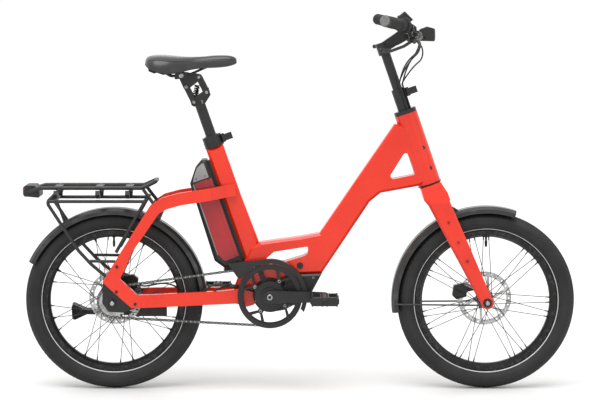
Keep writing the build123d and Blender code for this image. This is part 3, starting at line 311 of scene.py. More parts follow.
class Shape:
    """Points and faces in millimetres, gathered and then made into one piece."""

    def __init__(self):
        self.points, self.faces, self.looks = [], [], []

    def add(self, points, faces, look=0):
        start = len(self.points)
        self.points += [Vector(p) for p in points]
        self.faces += [tuple(start + i for i in face) for face in faces]
        self.looks += [look] * len(faces)
        return self

    def loft(self, sections, look=0, closed=False):
        """Quads between rings of points, with flat ends unless the rings close on themselves."""
        count, rings = len(sections[0]), len(sections)
        faces = []
        for i in range(rings if closed else rings - 1):
            a, b = i * count, (i + 1) % rings * count
            faces += [(a + j, a + (j + 1) % count, b + (j + 1) % count, b + j) for j in range(count)]
        if not closed:
            faces += [tuple(range(count))[::-1], tuple(range((rings - 1) * count, rings * count))]
        return self.add([p for ring in sections for p in ring], faces, look)

    def lathe(self, at, axis, profile, steps=32, look=0):
        """Turn (height, radius) points about an axis through a point."""
        at, axis = Vector(at), Vector(axis).normalized()
        u, v = square_to(axis)
        rings = []
        for height, radius in profile:
            radius = max(radius, 0.02)
            rings.append([at + axis * height + radius * (u * math.cos(a) + v * math.sin(a))
                          for a in (2 * math.pi * k / steps for k in range(steps))])
        return self.loft(rings, look)

    def sweep(self, path, radius, sides=10, look=0):
        """A round tube along points; radius is one number or one for each point."""
        path = [Vector(p) for p in path]
        radii = radius if hasattr(radius, "__len__") else [radius] * len(path)
        u = None
        rings = []
        for i, p in enumerate(path):
            way = (path[min(i + 1, len(path) - 1)] - path[max(i - 1, 0)]).normalized()
            u = square_to(way)[0] if u is None else (u - way * u.dot(way)).normalized()
            v = way.cross(u)
            rings.append([p + radii[i] * (u * math.cos(a) + v * math.sin(a))
                          for a in (2 * math.pi * k / sides for k in range(sides))])
        return self.loft(rings, look)

    def prism(self, outline, low, high, look=0):
        """A side-view outline of (X, Z) points between two Y values."""
        return self.loft([[deep(p, low) for p in outline], [deep(p, high) for p in outline]], look)

    def block(self, middle, ways, halves, look=0):
        middle = Vector(middle)
        a, b, c = (Vector(w).normalized() * h for w, h in zip(ways, halves))
        rings = [[middle + c * s + a * i + b * j for i, j in ((-1, -1), (1, -1), (1, 1), (-1, 1))]
                 for s in (-1, 1)]
        return self.loft(rings, look)

    def bolt(self, at, axis, radius, height, look=0):
        """A cap screw with a socket in its head."""
        edge = radius * 0.14
        self.lathe(at, axis, [(0, radius), (height - edge, radius), (height, radius - edge),
                              (height, radius * 0.58), (height - radius * 0.6, radius * 0.5),
                              (height - radius * 0.6, 0)], 18, look)
        return self

    def washer(self, at, axis, outer, inner, height, look=0, steps=28):
        at, axis = Vector(at), Vector(axis).normalized()
        u, v = square_to(axis)
        rings = []
        for k in range(steps):
            way = u * math.cos(2 * math.pi * k / steps) + v * math.sin(2 * math.pi * k / steps)
            rings.append([at + way * r + axis * h for h, r in
                          ((0, inner), (0, outer), (height, outer), (height, inner))])
        return self.loft(rings, look, closed=True)

    def piece(self, name, body, slot, looks=None, replaced=(), sharp=34, bevel=0.0, subdivide=0,
              ride=True):
        made = bpy.data.meshes.new(name)
        made.from_pydata([p * MM for p in self.points], [], self.faces)
        obj = bpy.data.objects.new(name, made)
        bpy.context.scene.collection.objects.link(obj)
        paint(obj, *(looks or [slots[slot]]))
        made.polygons.foreach_set("material_index", self.looks)
        made.polygons.foreach_set("use_smooth", [True] * len(made.polygons))
        outward(made)
        made.set_sharp_from_angle(angle=math.radians(sharp))
        if bevel:
            edge = obj.modifiers.new("edges", "BEVEL")
            edge.width, edge.segments, edge.limit_method = bevel * MM, 2, "ANGLE"
            edge.angle_limit = math.radians(38)
            edge.harden_normals = True
        if subdivide:
            smooth = obj.modifiers.new("smooth", "SUBSURF")
            smooth.levels = smooth.render_levels = subdivide
        if ride:
            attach(obj, body)
        if replaced:
            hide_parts(*replaced)
        return obj


def outward(made):
    """Turn every closed part's faces to look outwards."""
    work = bmesh.new()
    work.from_mesh(made)
    bmesh.ops.recalc_face_normals(work, faces=work.faces)
    work.to_mesh(made)
    work.free()


def smooth_line(points, per_run=6):
    """Catmull-Rom points through a list of tuples."""
    ends = [points[0]] + list(points) + [points[-1]]
    made = []
    for a, b, c, d in zip(ends, ends[1:], ends[2:], ends[3:]):
        for k in range(per_run):
            t = k / per_run
            made.append(tuple(0.5 * (2 * q + (r - p) * t + (2 * p - 5 * q + 4 * r - s) * t * t
                                     + (3 * q - p - 3 * r + s) * t ** 3)
                              for p, q, r, s in zip(a, b, c, d)))
    return made + [tuple(points[-1])]


def nurbs(points):
    """The points of a smooth NURBS line that a route's points control, in millimetres."""
    data = bpy.data.curves.new("route", "CURVE")
    data.dimensions, data.resolution_u = "3D", 10
    spline = data.splines.new("NURBS")
    spline.points.add(len(points) - 1)
    for point, place in zip(spline.points, points):
        point.co = (*(Vector(place) * MM), 1.0)
    spline.order_u, spline.use_endpoint_u = 3, True
    obj = bpy.data.objects.new("route", data)
    bpy.context.scene.collection.objects.link(obj)
    bpy.context.view_layer.update()
    made = bpy.data.meshes.new_from_object(obj)
    line = [v.co / MM for v in made.vertices]
    bpy.data.objects.remove(obj)
    bpy.data.meshes.remove(made)
    return line


# ---------------------------------------------------------------- wheels
def wheel_point(centre, radius, degrees, y):
    return deep(polar(centre, radius, degrees), y)


TYRE_HALF = [(203.0, 15.4), (209.5, 15.6), (212.2, 18.6), (212.3, 19.1), (214.4, 21.2), (214.5, 21.0),
             (221.0, 25.6), (229.0, 29.2), (236.0, 30.0), (240.0, 29.7), (240.6, 30.1), (241.6, 29.9),
             (242.0, 29.1), (246.0, 27.8)]
TREAD_HALF = [(249.0, 26.3), (250.4, 25.2), (253.6, 22.4), (256.2, 19.0), (258.2, 15.9), (259.4, 13.5),
              (260.0, 12.1), (261.0, 9.4), (261.8, 6.2), (262.2, 4.0), (262.4, 2.8), (262.6, 0.0)]
PITCHES, STEPS_PER_PITCH, GROOVE = 104, 8, 1.9


def groove_depth(step, y):
    """How far the tread is cut away there: two long grooves and three rows of slanted blocks."""
    row = abs(y)
    share = (step % STEPS_PER_PITCH) / STEPS_PER_PITCH
    if 2.6 < row < 4.2 or 11.8 < row < 13.7:
        return GROOVE
    if row >= 13.7:
        return GROOVE * (0.5 if row > 25 else 1.0) if (share + 0.06 * (row - 14)) % 1 < 0.26 else 0
    if row >= 4.2:
        return GROOVE if (share + 0.5 + 0.05 * (row - 4)) % 1 < 0.2 else 0
    return 0


def tyre(name, centre, body):
    half = TYRE_HALF + TREAD_HALF
    profile = [(r, y) for r, y in half] + [(r, -y) for r, y in half[-2::-1]]
    tread_from = len(TYRE_HALF) + 1
    stripe = (2, 3)
    shape = Shape()
    steps = PITCHES * STEPS_PER_PITCH
    rings = []
    for step in range(steps):
        angle = 360 * step / steps
        ring = []
        for i, (r, y) in enumerate(profile):
            inside = tread_from <= i < len(profile) - tread_from
            ring.append(wheel_point(centre, r - (groove_depth(step, y) if inside else 0), angle, y))
        rings.append(ring)
    shape.loft(rings, closed=True)
    count = len(profile)
    for k in range(steps):
        for j in stripe:
            shape.looks[k * count + j] = 1
            shape.looks[k * count + count - 2 - j] = 1
    return shape.piece(name, body, "tyre_rubber", [slots["tyre_rubber"], extra["stripe"]],
                       [name.replace("rubber", "tyre")], sharp=28)


def wheel_trim(name, centre, body, count, flange, flange_y, lace):
    """Spoke nipples at the rim, spoke heads at the hub, and the valve with its cap and nut."""
    shape = Shape()
    for i in range(count):
        s, lean = (1 if i % 2 else -1), (1 if (i // 2) % 2 else -1)
        turn = 360 * i / count
        near = wheel_point(centre, flange - 3, turn, s * (flange_y + 2.4 * lean))
        far = wheel_point(centre, 190.5, turn + lace * lean, s * (2.5 + lean))
        way = (far - near).normalized()
        shape.lathe(far - way * 12, way, [(0, 1.1), (0.6, 1.9), (9, 1.9), (9.6, 2.7), (13.5, 2.7)], 8)
        shape.lathe(near, Y_AXIS * (s * lean), [(0, 2.3), (1.6, 2.2), (2.3, 1.2), (2.3, 0)], 10, 1)
    shape.piece(name + "_nipples", body, "spoke_steel", [slots["spoke_steel"], slots["steel"]])
    valve = Shape()
    up = Vector((0, 0, -1))
    top = wheel_point(centre, 190, 90, 0)
    valve.lathe(top, up, [(0, 5.4), (2.6, 5.4), (3.2, 4.6), (3.2, 3.2), (14, 3.1), (14, 3.9), (16, 4.1),
                          (30, 3.7), (31.5, 2.6), (31.5, 0)], 16)
    valve.piece(name + "_valve", body, "black_metal")


# ---------------------------------------------------------------- drive
CHAIN_Y, PITCH = -55.0, 12.7


def chain_line():
    """The middle line of the chain: round the chainring, back along the top, round the sprocket."""
    big, small = (PITCH / (2 * math.sin(math.pi / n)) for n in (44, 22))
    way = math.atan2(REAR[1] - BRACKET[1], REAR[0] - BRACKET[0])
    gap = math.dist(REAR, BRACKET)
    open_angle = math.acos((big - small) / gap)
    points = []
    for k in range(81):
        a = way + open_angle + (2 * math.pi - 2 * open_angle) * (k / 80)
        points.append((BRACKET[0] + big * math.cos(a), BRACKET[1] + big * math.sin(a)))
    for k in range(61):
        a = way - open_angle + 2 * open_angle * (k / 60)
        points.append((REAR[0] + small * math.cos(a), REAR[1] + small * math.sin(a)))
    return points + [points[0]]


def along(line, distance):
    for a, b in zip(line, line[1:]):
        run = math.dist(a, b)
        if distance <= run:
            t = distance / run
            return (a[0] + (b[0] - a[0]) * t, a[1] + (b[1] - a[1]) * t)
        distance -= run
    return line[-1]


def chain():
    line = chain_line()
    length = sum(math.dist(a, b) for a, b in zip(line, line[1:]))
    links = round(length / PITCH / 2) * 2
    pins = [along(line, length * i / links) for i in range(links)]
    shape = Shape()
    for i, (p, q) in enumerate(zip(pins, pins[1:] + pins[:1])):
        way = Vector((q[0] - p[0], q[1] - p[1])).normalized()
        side_way = Vector((-way.y, way.x))
        outline = []
        for centre, sign in ((Vector(q), 1), (Vector(p), -1)):
            for a in (-80, -40, 0, 40, 80):
                turn = math.radians(a)
                outline.append(centre + 3.9 * sign * (way * math.cos(turn) + side_way * math.sin(turn)))
            outline.append((Vector(p) + Vector(q)) / 2 + side_way * 2.7 * sign)
        offset = 2.3 if i % 2 else 3.5
        for s in (-1, 1):
            y = CHAIN_Y + s * offset
            shape.prism([(v.x, v.y) for v in outline], y - 0.55, y + 0.55)
        shape.lathe(deep(p, CHAIN_Y - 4.5), Y_AXIS, [(0, 1.9), (9, 1.9)], 8, 1)
        shape.lathe(deep(p, CHAIN_Y - 1.7), Y_AXIS, [(0, 3.7), (3.4, 3.7)], 10, 1)
    shape.piece("chain_links", "frame", "steel", [extra["chain"], slots["steel"]], ["chain"])


# ---------------------------------------------------------------- cockpit
BAR_POINTS = [(-83, 305, 31), (-18, 190, 15), (1, 70, 0)]


def on_grip(s, distance):
    outer, inner = (at_bar(x, s * y, z) for x, y, z in BAR_POINTS[:2])
    return inner + (outer - inner).normalized() * distance


GRIP_RUN = (at_bar(*BAR_POINTS[0]) - at_bar(*BAR_POINTS[1])).length


def grips():
    """Ribbed rubber sleeves with a smooth collar, a palm swell and a pale cap."""
    shape = Shape()
    for s, start in ((-1, 46.0), (1, 16.0)):
        at = on_grip(s, 0)
        way = on_grip(s, 100) - at
        profile = [(start, 11.4), (start, 17.6), (start + 3, 17.9), (start + 4, 16.0)]
        place = start + 4
        while place < GRIP_RUN - 12:
            swell = 1.2 * math.sin(math.pi * (place - start) / (GRIP_RUN - start))
            profile += [(place, 15.0 + swell), (place + 0.7, 15.8 + swell),
                        (place + 2.1, 15.8 + swell), (place + 2.8, 15.0 + swell)]
            place += 3.4
        profile += [(GRIP_RUN - 9, 15.8), (GRIP_RUN - 7, 16.6), (GRIP_RUN - 1, 16.6), (GRIP_RUN, 15.9)]
        shape.lathe(at, way, profile, 40)
        shape.lathe(at, way, [(GRIP_RUN - 0.2, 15.6), (GRIP_RUN + 2, 15.6), (GRIP_RUN + 3.6, 14.2),
                              (GRIP_RUN + 4, 12.0), (GRIP_RUN + 3.2, 10.4), (GRIP_RUN + 3.4, 0)], 40, 1)
    shape.piece("grip_sleeves", "cockpit", "grip_rubber", [slots["grip_rubber"], extra["grip_cap"]],
                ["grips"])


def shifter():
    """The twist shifter: a ribbed barrel with a wide flange next to the grip."""
    shape = Shape()
    at = on_grip(-1, 0)
    way = on_grip(-1, 100) - at
    count = 26
    u, v = square_to(way)
    way = way.normalized()
    rings = []
    for height, radius, rib in ((14, 20, 0), (14, 23.4, 0), (15, 24, 0), (19.4, 24, 0), (20.4, 23, 0),
                                (20.8, 18.6, 0), (22, 18, 0), (23, 17.6, 1), (43, 17.2, 1),
                                (44, 16.8, 0), (45, 16.2, 0), (45, 12, 0)):
        ring = []
        for k in range(count * 4):
            a = 2 * math.pi * k / (count * 4)
            r = radius + (0.9 if rib and k % 4 in (0, 1) else 0)
            ring.append(at + way * height + r * (u * math.cos(a) + v * math.sin(a)))
        rings.append(ring)
    shape.loft(rings)
    shape.piece("twist_shifter", "shifter", "grip_rubber", None, ["shift_grip"])


CABLE_TAIL = (690.0, 680.0, 560.0)
CABLES = [  # the points from the brake or shifter down to the mast, and the angle round the mast
    ([at_bar(14, -146, -20), at_bar(30, -104, -32), at_bar(27, -66, -56),
      deep(on_steer(744, 44), -36)], -72),
    ([at_bar(12, -120, -14), at_bar(28, -74, -26), at_bar(22, -38, -60),
      deep(on_steer(738, 52), -30)], -36),
    ([at_bar(12, 60, -20), at_bar(40, 52, -38), at_bar(44, 38, -82),
      deep(on_steer(724, 66), 22)], 36),
    ([at_bar(14, 146, -20), at_bar(34, 106, -36), at_bar(37, 68, -62),
      deep(on_steer(740, 56), 38)], 72)]


def cable_place(along_axis, degrees, radius=22.3):
    a = math.radians(degrees)
    return deep(on_steer(along_axis, radius * math.cos(a)), radius * math.sin(a))


def cables():
    shape = Shape()
    for route, angle in CABLES:
        line = nurbs(route + [cable_place(t, angle) for t in CABLE_TAIL])
        shape.sweep(line, 2.2, 12)
    obj = shape.piece("control_hoses", "mast", "cable_sheath", None, ["control_cables"], ride=False)
    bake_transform(obj)


def cable_ends():
    """Ferrules where the cables leave the levers, and the levers' fluid bodies."""
    shape = Shape()
    for route, _ in CABLES:
        way = (route[1] - route[0]).normalized()
        shape.lathe(route[0] - way * 8, way, [(0, 4.2), (9, 4.2), (10, 3.6), (17, 3.1), (17.5, 2.4)], 14)
    for s in (-1, 1):
        low, high = at_bar(8, s * 182, -8), at_bar(26, s * 126, -17)
        way = high - low
        shape.lathe(low, way, [(0, 6), (1.5, 8.2), (20, 8.4), (22, 9.4), (50, 9.4), (53, 8.6),
                               (58, 6.2), (60, 4.5)], 24)
        shape.block((low + high) / 2 + Vector((0, 0, 9)), (way, Vector((0, 0, 1)).cross(way), (0, 0, 1)),
                    (16, 7.5, 2.4))
        for t in (-10, 10):
            shape.bolt((low + high) / 2 + Vector((0, 0, 11)) + way.normalized() * t, (0, 0, 1), 2.2, 1.4)
    shape.piece("brake_bodies", "cockpit", "black_metal", bevel=0.8)


def display_unit():
    """The screen in its frame, and two buttons, on the face turned to the rider."""
    shape = Shape()
    slope, up = Vector((0.798, 0, 0.603)), Vector((-0.603, 0, 0.798))
    middle = at_bar(-24.75, 0, 47.5)
    shape.block(middle + up * 0.3, (slope, Y_AXIS, up), (12.2, 23.5, 0.7), 0)
    shape.block(middle + up * 0.9 + slope * 1.5, (slope, Y_AXIS, up), (8.6, 20, 0.4), 1)
    for y in (-10, 10):
        shape.lathe(middle + up * 0.8 - slope * 9.6 + Y_AXIS * y, up,
                    [(0, 1.8), (0.9, 1.8), (1.2, 1.3), (1.2, 0)], 20, 2)
    shape.piece("display_screen", "cockpit", "display_glass",
                [slots["guard_plastic"], slots["display_glass"], slots["grip_rubber"]], bevel=0.3)


def lamp_front():
    """Lens in the mouth of the headlight, cooling fins behind, and side screws."""
    shape = Shape()
    x, z = BAR
    middle = Vector((x + 74, 0, z - 12.5))
    rows = [[middle + Vector((0.6 + 1.6 * math.cos(math.pi * i / 16), y, 16 * math.sin(math.pi * i / 16)))
             for i in range(-8, 9)] for y in range(-17, 18, 2)]
    face = Shape()
    for i in range(len(rows) - 1):
        for j in range(len(rows[0]) - 1):
            ridge = 0.8 if (i + j) % 2 else 0.0
            quad = [rows[i][j], rows[i + 1][j], rows[i + 1][j + 1], rows[i][j + 1]]
            centre = sum(quad, Vector()) / 4 + Vector((ridge, 0, 0))
            back = [p - Vector((1.2, 0, 0)) for p in quad]
            face.add(quad + [centre] + back, [(0, 1, 4), (1, 2, 4), (2, 3, 4), (3, 0, 4), (5, 8, 7, 6),
                                              (0, 5, 6, 1), (1, 6, 7, 2), (2, 7, 8, 3), (3, 8, 5, 0)])
    face.piece("headlight_lens", "cockpit", "lamp_front")
    for k in range(5):
        shape.block((x + 38 + 4 * k, 0, z + 3 + 1.1 * k), ((1, 0, 0), Y_AXIS, (0, 0, 1)), (0.9, 15, 3.2))
    for y in (-20, 20):
        shape.bolt((x + 44, y, z - 20), (0, math.copysign(1, y), 0), 3, 1.6)
    shape.piece("headlight_fins", "cockpit", "black_metal", bevel=0.3)


def stem_details():
    """Face-plate screws, pivot bolts, grooves of the clamp rings and the clamp's own bolts."""
    head = Shape()
    for y in (-19, 19):
        for dx, dz in ((17, 9), (12, -17)):
            head.bolt(at_bar(dx, y, dz), (dx, 0, dz), 3.4, 3.2)
    pivot = on_steer(812, 17)
    for s in (-1, 1):
        head.washer(deep(pivot, s * 15), Y_AXIS * s, 13.5, 8.8, 2.4)
        head.bolt(deep(pivot, s * 19), Y_AXIS * s, 5.6, 2.2)
    head.piece("stem_bolts", "cockpit", "black_metal", [slots["black_metal"]], bevel=0.4)
    rings = Shape()
    for t in (616, 621, 641, 646):
        rings.washer(deep(on_steer(t), 0), STEER_AXIS, 19.95, 19.2, 2.2, steps=40)
    for t in (603.5, 608.0):
        rings.washer(deep(on_steer(t), 0), STEER_AXIS, 33.9, 32.6, 1.8, steps=48)
    rings.bolt(deep(on_steer(661, 25), 10.2), Y_AXIS, 4.2, 2.4)
    rings.piece("clamp_rings", "steering", "black_metal", bevel=0.3)


# ---------------------------------------------------------------- seat
LOW_REAR, LOW_FRONT = on_seat(610.5, -14), on_seat(625.5, 30.5)
LINK = (-22.4, 44.7)
HIGH_REAR, HIGH_FRONT = ((p[0] + LINK[0], p[1] + LINK[1]) for p in (LOW_REAR, LOW_FRONT))
CLAMP = (HIGH_REAR[0] - 14, HIGH_REAR[1] + 34)


def at_clamp(dx, y, dz):
    return Vector((CLAMP[0] + dx, y, CLAMP[1] + dz))


SADDLE = [  # distance ahead, half width, top, lower edge, how square the section is
    (-105.5, 34, 45, 36, 2.0), (-100.5, 55, 53, 28, 2.2), (-88.5, 71, 58, 20, 2.4),
    (-69.5, 80, 60.5, 13, 2.6), (-45.5, 81, 60, 7.5, 2.6), (-23.5, 75, 58, 6.5, 2.6),
    (-1.5, 62, 56, 10, 2.5), (22.5, 47, 55, 16, 2.4), (48.5, 36, 55.5, 20.5, 2.3),
    (76.5, 29, 57, 22.5, 2.3), (104.5, 24.5, 58.5, 23.5, 2.3), (130.5, 21, 58.5, 26, 2.2),
    (148.5, 16.5, 56, 30, 2.1), (158.5, 11, 51, 34, 2.0), (162, 5, 45, 38, 2.0)]


def saddle():
    """A waisted shell, domed across, with a shallow relief along its middle and a soft lower lip."""
    stations = smooth_line(SADDLE, 4)
    count = 36
    rings = []
    for x, half, top, low, power in stations:
        ring = []
        for k in range(count):
            a = math.pi * k / (count - 1)
            c, s = math.cos(a), math.sin(a)
            y = half * math.copysign(abs(c) ** (2 / power), c)
            z = low + (top - low) * s ** (2 / power)
            relief = 2.6 * math.exp(-(y / 7) ** 2) * max(0.0, 1 - ((x + 8) / 92) ** 4) if x < 84 else 0
            ring.append(at_clamp(x, y, z - relief))
        for share, lift in ((-0.93, -1.5), (-0.8, 0.5), (-0.4, 2.5), (0.4, 2.5), (0.8, 0.5), (0.93, -1.5)):
            ring.append(at_clamp(x, half * share, low + lift))
        rings.append(ring)
    shape = Shape().loft(rings)
    return shape.piece("saddle_pad", "saddle", "saddle_cover", None, ["saddle"], sharp=80, subdivide=1)


def saddle_trim():
    """Base rim under the cover, sockets that hold the rails, a seam along each flank, and a clip."""
    stations = smooth_line(SADDLE, 4)
    shape = Shape()
    for s in (-1, 1):
        edge = [at_clamp(x, s * half * 0.985, low + 0.8) for x, half, top, low, _ in stations[2:-2]]
        shape.sweep(edge, 1.5, 8)
        seam = []
        for x, half, top, low, power in stations[6:-8]:
            a = math.radians(38)
            seam.append(at_clamp(x, s * half * math.cos(a) ** (2 / power) * 1.004,
                                 low + (top - low) * math.sin(a) ** (2 / power) + 0.1))
        shape.sweep(seam, 0.55, 6)
        shape.prism([(p.x, p.z) for p in (at_clamp(-74, 0, 9), at_clamp(-50, 0, 1), at_clamp(-42, 0, 8),
                                          at_clamp(-46, 0, 16), at_clamp(-76, 0, 18))],
                    *sorted((s * 24, s * 36)))
    shape.prism([(p.x, p.z) for p in (at_clamp(86, 0, 28), at_clamp(108, 0, 26), at_clamp(112, 0, 34),
                                      at_clamp(84, 0, 34))], -19, 19)
    shape.prism([(p.x, p.z) for p in (at_clamp(-96, 0, 12), at_clamp(-80, 0, 5), at_clamp(-70, 0, 8),
                                      at_clamp(-74, 0, 18), at_clamp(-98, 0, 22))], -22, 22)
    shape.piece("saddle_base", "saddle", "guard_plastic", bevel=0.8)


def spring():
    """The coil between the links, with its end cups."""
    low, high = deep(LOW_REAR, 0), deep(HIGH_FRONT, 0)
    way = (high - low).normalized()
    start, end = low + way * 10, high - way * 27
    u, v = square_to(way)
    turns, steps = 6.5, 150
    length = (end - start).length
    line = []
    for k in range(steps + 1):
        t = k / steps
        place = (t + 0.08 * math.sin(2 * math.pi * t) / math.pi) * length
        a = 2 * math.pi * turns * t
        line.append(start + way * place + 7.2 * (u * math.cos(a) + v * math.sin(a)))
    shape = Shape().sweep(line, 1.7, 10)
    shape.lathe(start - way * 2.5, way, [(0, 5), (0, 9), (2, 9), (2.6, 5.2), (7, 4.8), (7, 0)], 24, 1)
    shape.lathe(end + way * 2.5, -way, [(0, 5), (0, 9), (2, 9), (2.6, 5.2), (7, 4.8), (7, 0)], 24, 1)
    obj = shape.piece("suspension_coil", "seat_post", "spring_steel",
                      [slots["spring_steel"], slots["black_metal"]], ["suspension_spring"])
    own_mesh(obj)


def link_plates():
    """Wide side plates on the post's head."""
    shape = Shape()
    for s in (-1, 1):
        low, high = sorted((s * 12.8, s * 10.4))
        outline = [(LOW_REAR[0] - 6, LOW_REAR[1] - 6), (LOW_FRONT[0] + 8, LOW_FRONT[1] - 6),
                   (LOW_FRONT[0] + 6, LOW_FRONT[1] + 14), (LOW_REAR[0] - 2, LOW_REAR[1] + 12)]
        shape.prism(outline, low, high)
    shape.piece("post_head_plates", "seat_post", "black_metal", bevel=0.6)


def pin_caps():
    """Countersunk screws on the four link pins and the rail clamp's bolt."""
    post = Shape()
    for p in (LOW_REAR, LOW_FRONT):
        for s in (-1, 1):
            post.bolt(deep(p, s * 19), Y_AXIS * s, 4.6, 1.8)
    for t in (600.0, 606.0):
        post.bolt(deep(on_seat(t, 9), -12.7), -Y_AXIS, 2.4, 1.4)
    post.piece("link_screws_low", "seat_post", "steel", bevel=0.2)
    top = Shape()
    for p in (HIGH_REAR, HIGH_FRONT):
        for s in (-1, 1):
            top.bolt(deep(p, s * 19), Y_AXIS * s, 4.6, 1.8)
    for s in (-1, 1):
        top.lathe(at_clamp(0, s * 28, 0), Y_AXIS * s,
                  [(0, 7), (2, 7), (2.6, 6), (2.6, 3.6), (1.2, 3), (1.2, 0)], 24)
    top.piece("link_screws_high", "saddle", "steel", bevel=0.2)


def collar_details():
    shape = Shape()
    for t in (468, 474.5, 481):
        shape.washer(deep(on_seat(t), 0), SEAT_AXIS, 29.7, 28.2, 2.4, steps=44)
    shape.bolt(deep(on_seat(483, 31), 10.2), Y_AXIS, 4.2, 2.2)
    shape.lathe(deep(on_seat(500), 0), SEAT_AXIS, [(0, 16), (0, 21), (2.0, 18.4), (3.2, 16.2)], 40)
    shape.piece("collar_rings", "frame", "black_metal", bevel=0.3)


# ---------------------------------------------------------------- battery, rack and lamps
RACK_TOP = AXLE_Z + 338.0
Z_AXIS = Vector((0, 0, 1))
X_AXIS = Vector((1, 0, 0))


def tail_lamp():
    """A ribbed lens across the back of the lamp."""
    x, z = REAR[0] - 261, RACK_TOP
    shape = Shape()
    shape.prism([(x - 1.8, z - 21), (x - 1.8, z), (x + 2, z + 4), (x + 2, z - 24)], -42, 42)
    for y in range(-39, 40, 3):
        shape.block((x - 1.9, y, z - 10.5), (X_AXIS, Y_AXIS, Z_AXIS), (0.8, 1.0, 9.5))
    shape.piece("tail_lens", "frame", "lamp_rear", bevel=0.3)


def battery_trim():
    """Grey edge strips and cap panels, the screws of the shell, and the lock."""
    shape = Shape()
    for s in (-1, 1):
        low, high = sorted((s * 39.6, s * 41.2))
        shape.prism([on_seat(163, -97.5), on_seat(383, -97), on_seat(383, -93.4),
                     on_seat(165, -93.6)], low, high)
        shape.prism([on_seat(142, -38.5), on_seat(384, -38.5), on_seat(384, -47.6),
                     on_seat(142, -47.6)], low, high, 2)
        shape.prism([on_seat(389, -45), on_seat(389, -94), on_seat(404, -86), on_seat(425, -70),
                     on_seat(434, -52), on_seat(432, -45)], low, high)
        for t, d in ((131, -50), (131, -82), (396, -54), (396, -82)):
            shape.bolt(deep(on_seat(t, d), s * 40.4), Y_AXIS * s, 2.6, 1.3, 1)
    shape.lathe(deep(on_seat(411, -66), 41), Y_AXIS, [(0, 8), (1.4, 8), (2, 7.2), (2, 4.4), (1, 4.2),
                                                     (1, 0)], 28, 1)
    shape.piece("battery_edges", "battery", "battery_side",
                [extra["trim"], slots["black_metal"], slots["battery_side"]], bevel=0.5)


def rack_fittings():
    """Clips between the upper and lower rails, and the screws of the deck plates."""
    shape = Shape()
    for x in (-714, -592, -505):
        for s in (-1, 1):
            shape.block((x, s * 67.5, RACK_TOP - 19), (X_AXIS, (0, 17, -38 * s), (0, 38, 17 * s)),
                        (6, 6.5, 17))
    for dx in (-161, -40, 48):
        for s in (-1, 1):
            shape.bolt((REAR[0] + dx, s * 44, RACK_TOP + 3), Z_AXIS, 3.6, 1.8, 1)
    shape.piece("rack_clips", "frame", "guard_plastic", [slots["guard_plastic"], slots["steel"]],
                bevel=0.6)


# ---------------------------------------------------------------- cranks, pedals and motor
CRANK_LENGTH, PEDAL_NEAR, PEDAL_WIDTH, PEDAL_HALF_HEIGHT = 160, 92, 95, 12.6
PEDALS = {-1: polar(BRACKET, CRANK_LENGTH, 0), 1: polar(BRACKET, CRANK_LENGTH, 180)}


def pedal_details():
    """Studs, end plates and the bearing cap."""
    for s, centre in PEDALS.items():
        shape = Shape()
        middle = deep(centre, s * (PEDAL_NEAR + PEDAL_WIDTH / 2))
        for face in (-1, 1):
            for dx in (-36, -7, 7, 36):
                for dy in range(-42, 43, 12):
                    shape.lathe(middle + Vector((dx, dy, face * PEDAL_HALF_HEIGHT)), Z_AXIS * face,
                                [(0, 2.6), (1.2, 2.4), (2.3, 1.2), (2.3, 0)], 10)
            shape.block(middle + Vector((0, face * 46, 0)), (X_AXIS, Y_AXIS, Z_AXIS),
                        (38, 1.9, 9.5), 1)
        shape.lathe(middle + Y_AXIS * (s * PEDAL_WIDTH / 2), Y_AXIS * s,
                    [(0, 9), (3, 9), (4.4, 7.6), (4.4, 0)], 24, 0)
        name = "right" if s < 0 else "left"
        shape.piece("pedal_studs_" + name, "pedal_" + name, "pedal_plastic",
                    [slots["pedal_plastic"], slots["guard_plastic"]], bevel=0.3)


def crank_details():
    """Crank bolts, pedal axle ends, and the guard ring bolts with pale centres."""
    shape = Shape()
    for s, end in PEDALS.items():
        shape.lathe(deep(BRACKET, s * 78), Y_AXIS * s,
                    [(0, 11.5), (8, 11.5), (10.4, 10.6), (10.4, 8.5), (6, 8), (6, 0)], 32)
        shape.lathe(deep(BRACKET, s * 88), Y_AXIS * s, [(-2, 15), (0.8, 15), (1.4, 14), (1.4, 0)], 32)
        shape.bolt(deep(BRACKET, s * 89), Y_AXIS * s, 8.5, 2.6, 1)
        shape.washer(deep(end, s * 74), Y_AXIS * s, 9, 5.2, -1.4)
        shape.washer(deep(end, s * 88), Y_AXIS * s, 8.4, 5.2, 2.6, 1)
    for i in range(4):
        at = deep(polar(BRACKET, 52, 58 + 90 * i), -64)
        shape.lathe(at, -Y_AXIS, [(0, 8), (1.4, 8), (2.2, 7.2), (2.2, 0)], 28)
        shape.bolt(at - Y_AXIS * 2, -Y_AXIS, 4.6, 1.6, 1)
    shape.piece("crank_bolts", "crank", "black_metal", [slots["black_metal"], slots["steel"]],
                bevel=0.3)


def motor_details():
    """Case screws and a cover seam."""
    shape = Shape()
    for s in (-1, 1):
        for k in range(7):
            at = polar(BRACKET, 44, 115 + 44 * k)
            shape.bolt(deep(at, s * 42.8), Y_AXIS * s, 3.2, 1.8, 1)
        shape.washer(deep(BRACKET, s * 42.6), Y_AXIS * s, 30, 26, 1.6, steps=48)
        for dx, dz in ((62, 50), (128, 52), (103, 2), (56, -30)):
            at = (BRACKET[0] + dx, BRACKET[1] + dz)
            shape.bolt(deep(at, s * 42.4), Y_AXIS * s, 3.4, 1.4, 1)
    shape.piece("motor_screws", "frame", "motor_case", [slots["motor_case"], slots["steel"]], bevel=0.2)


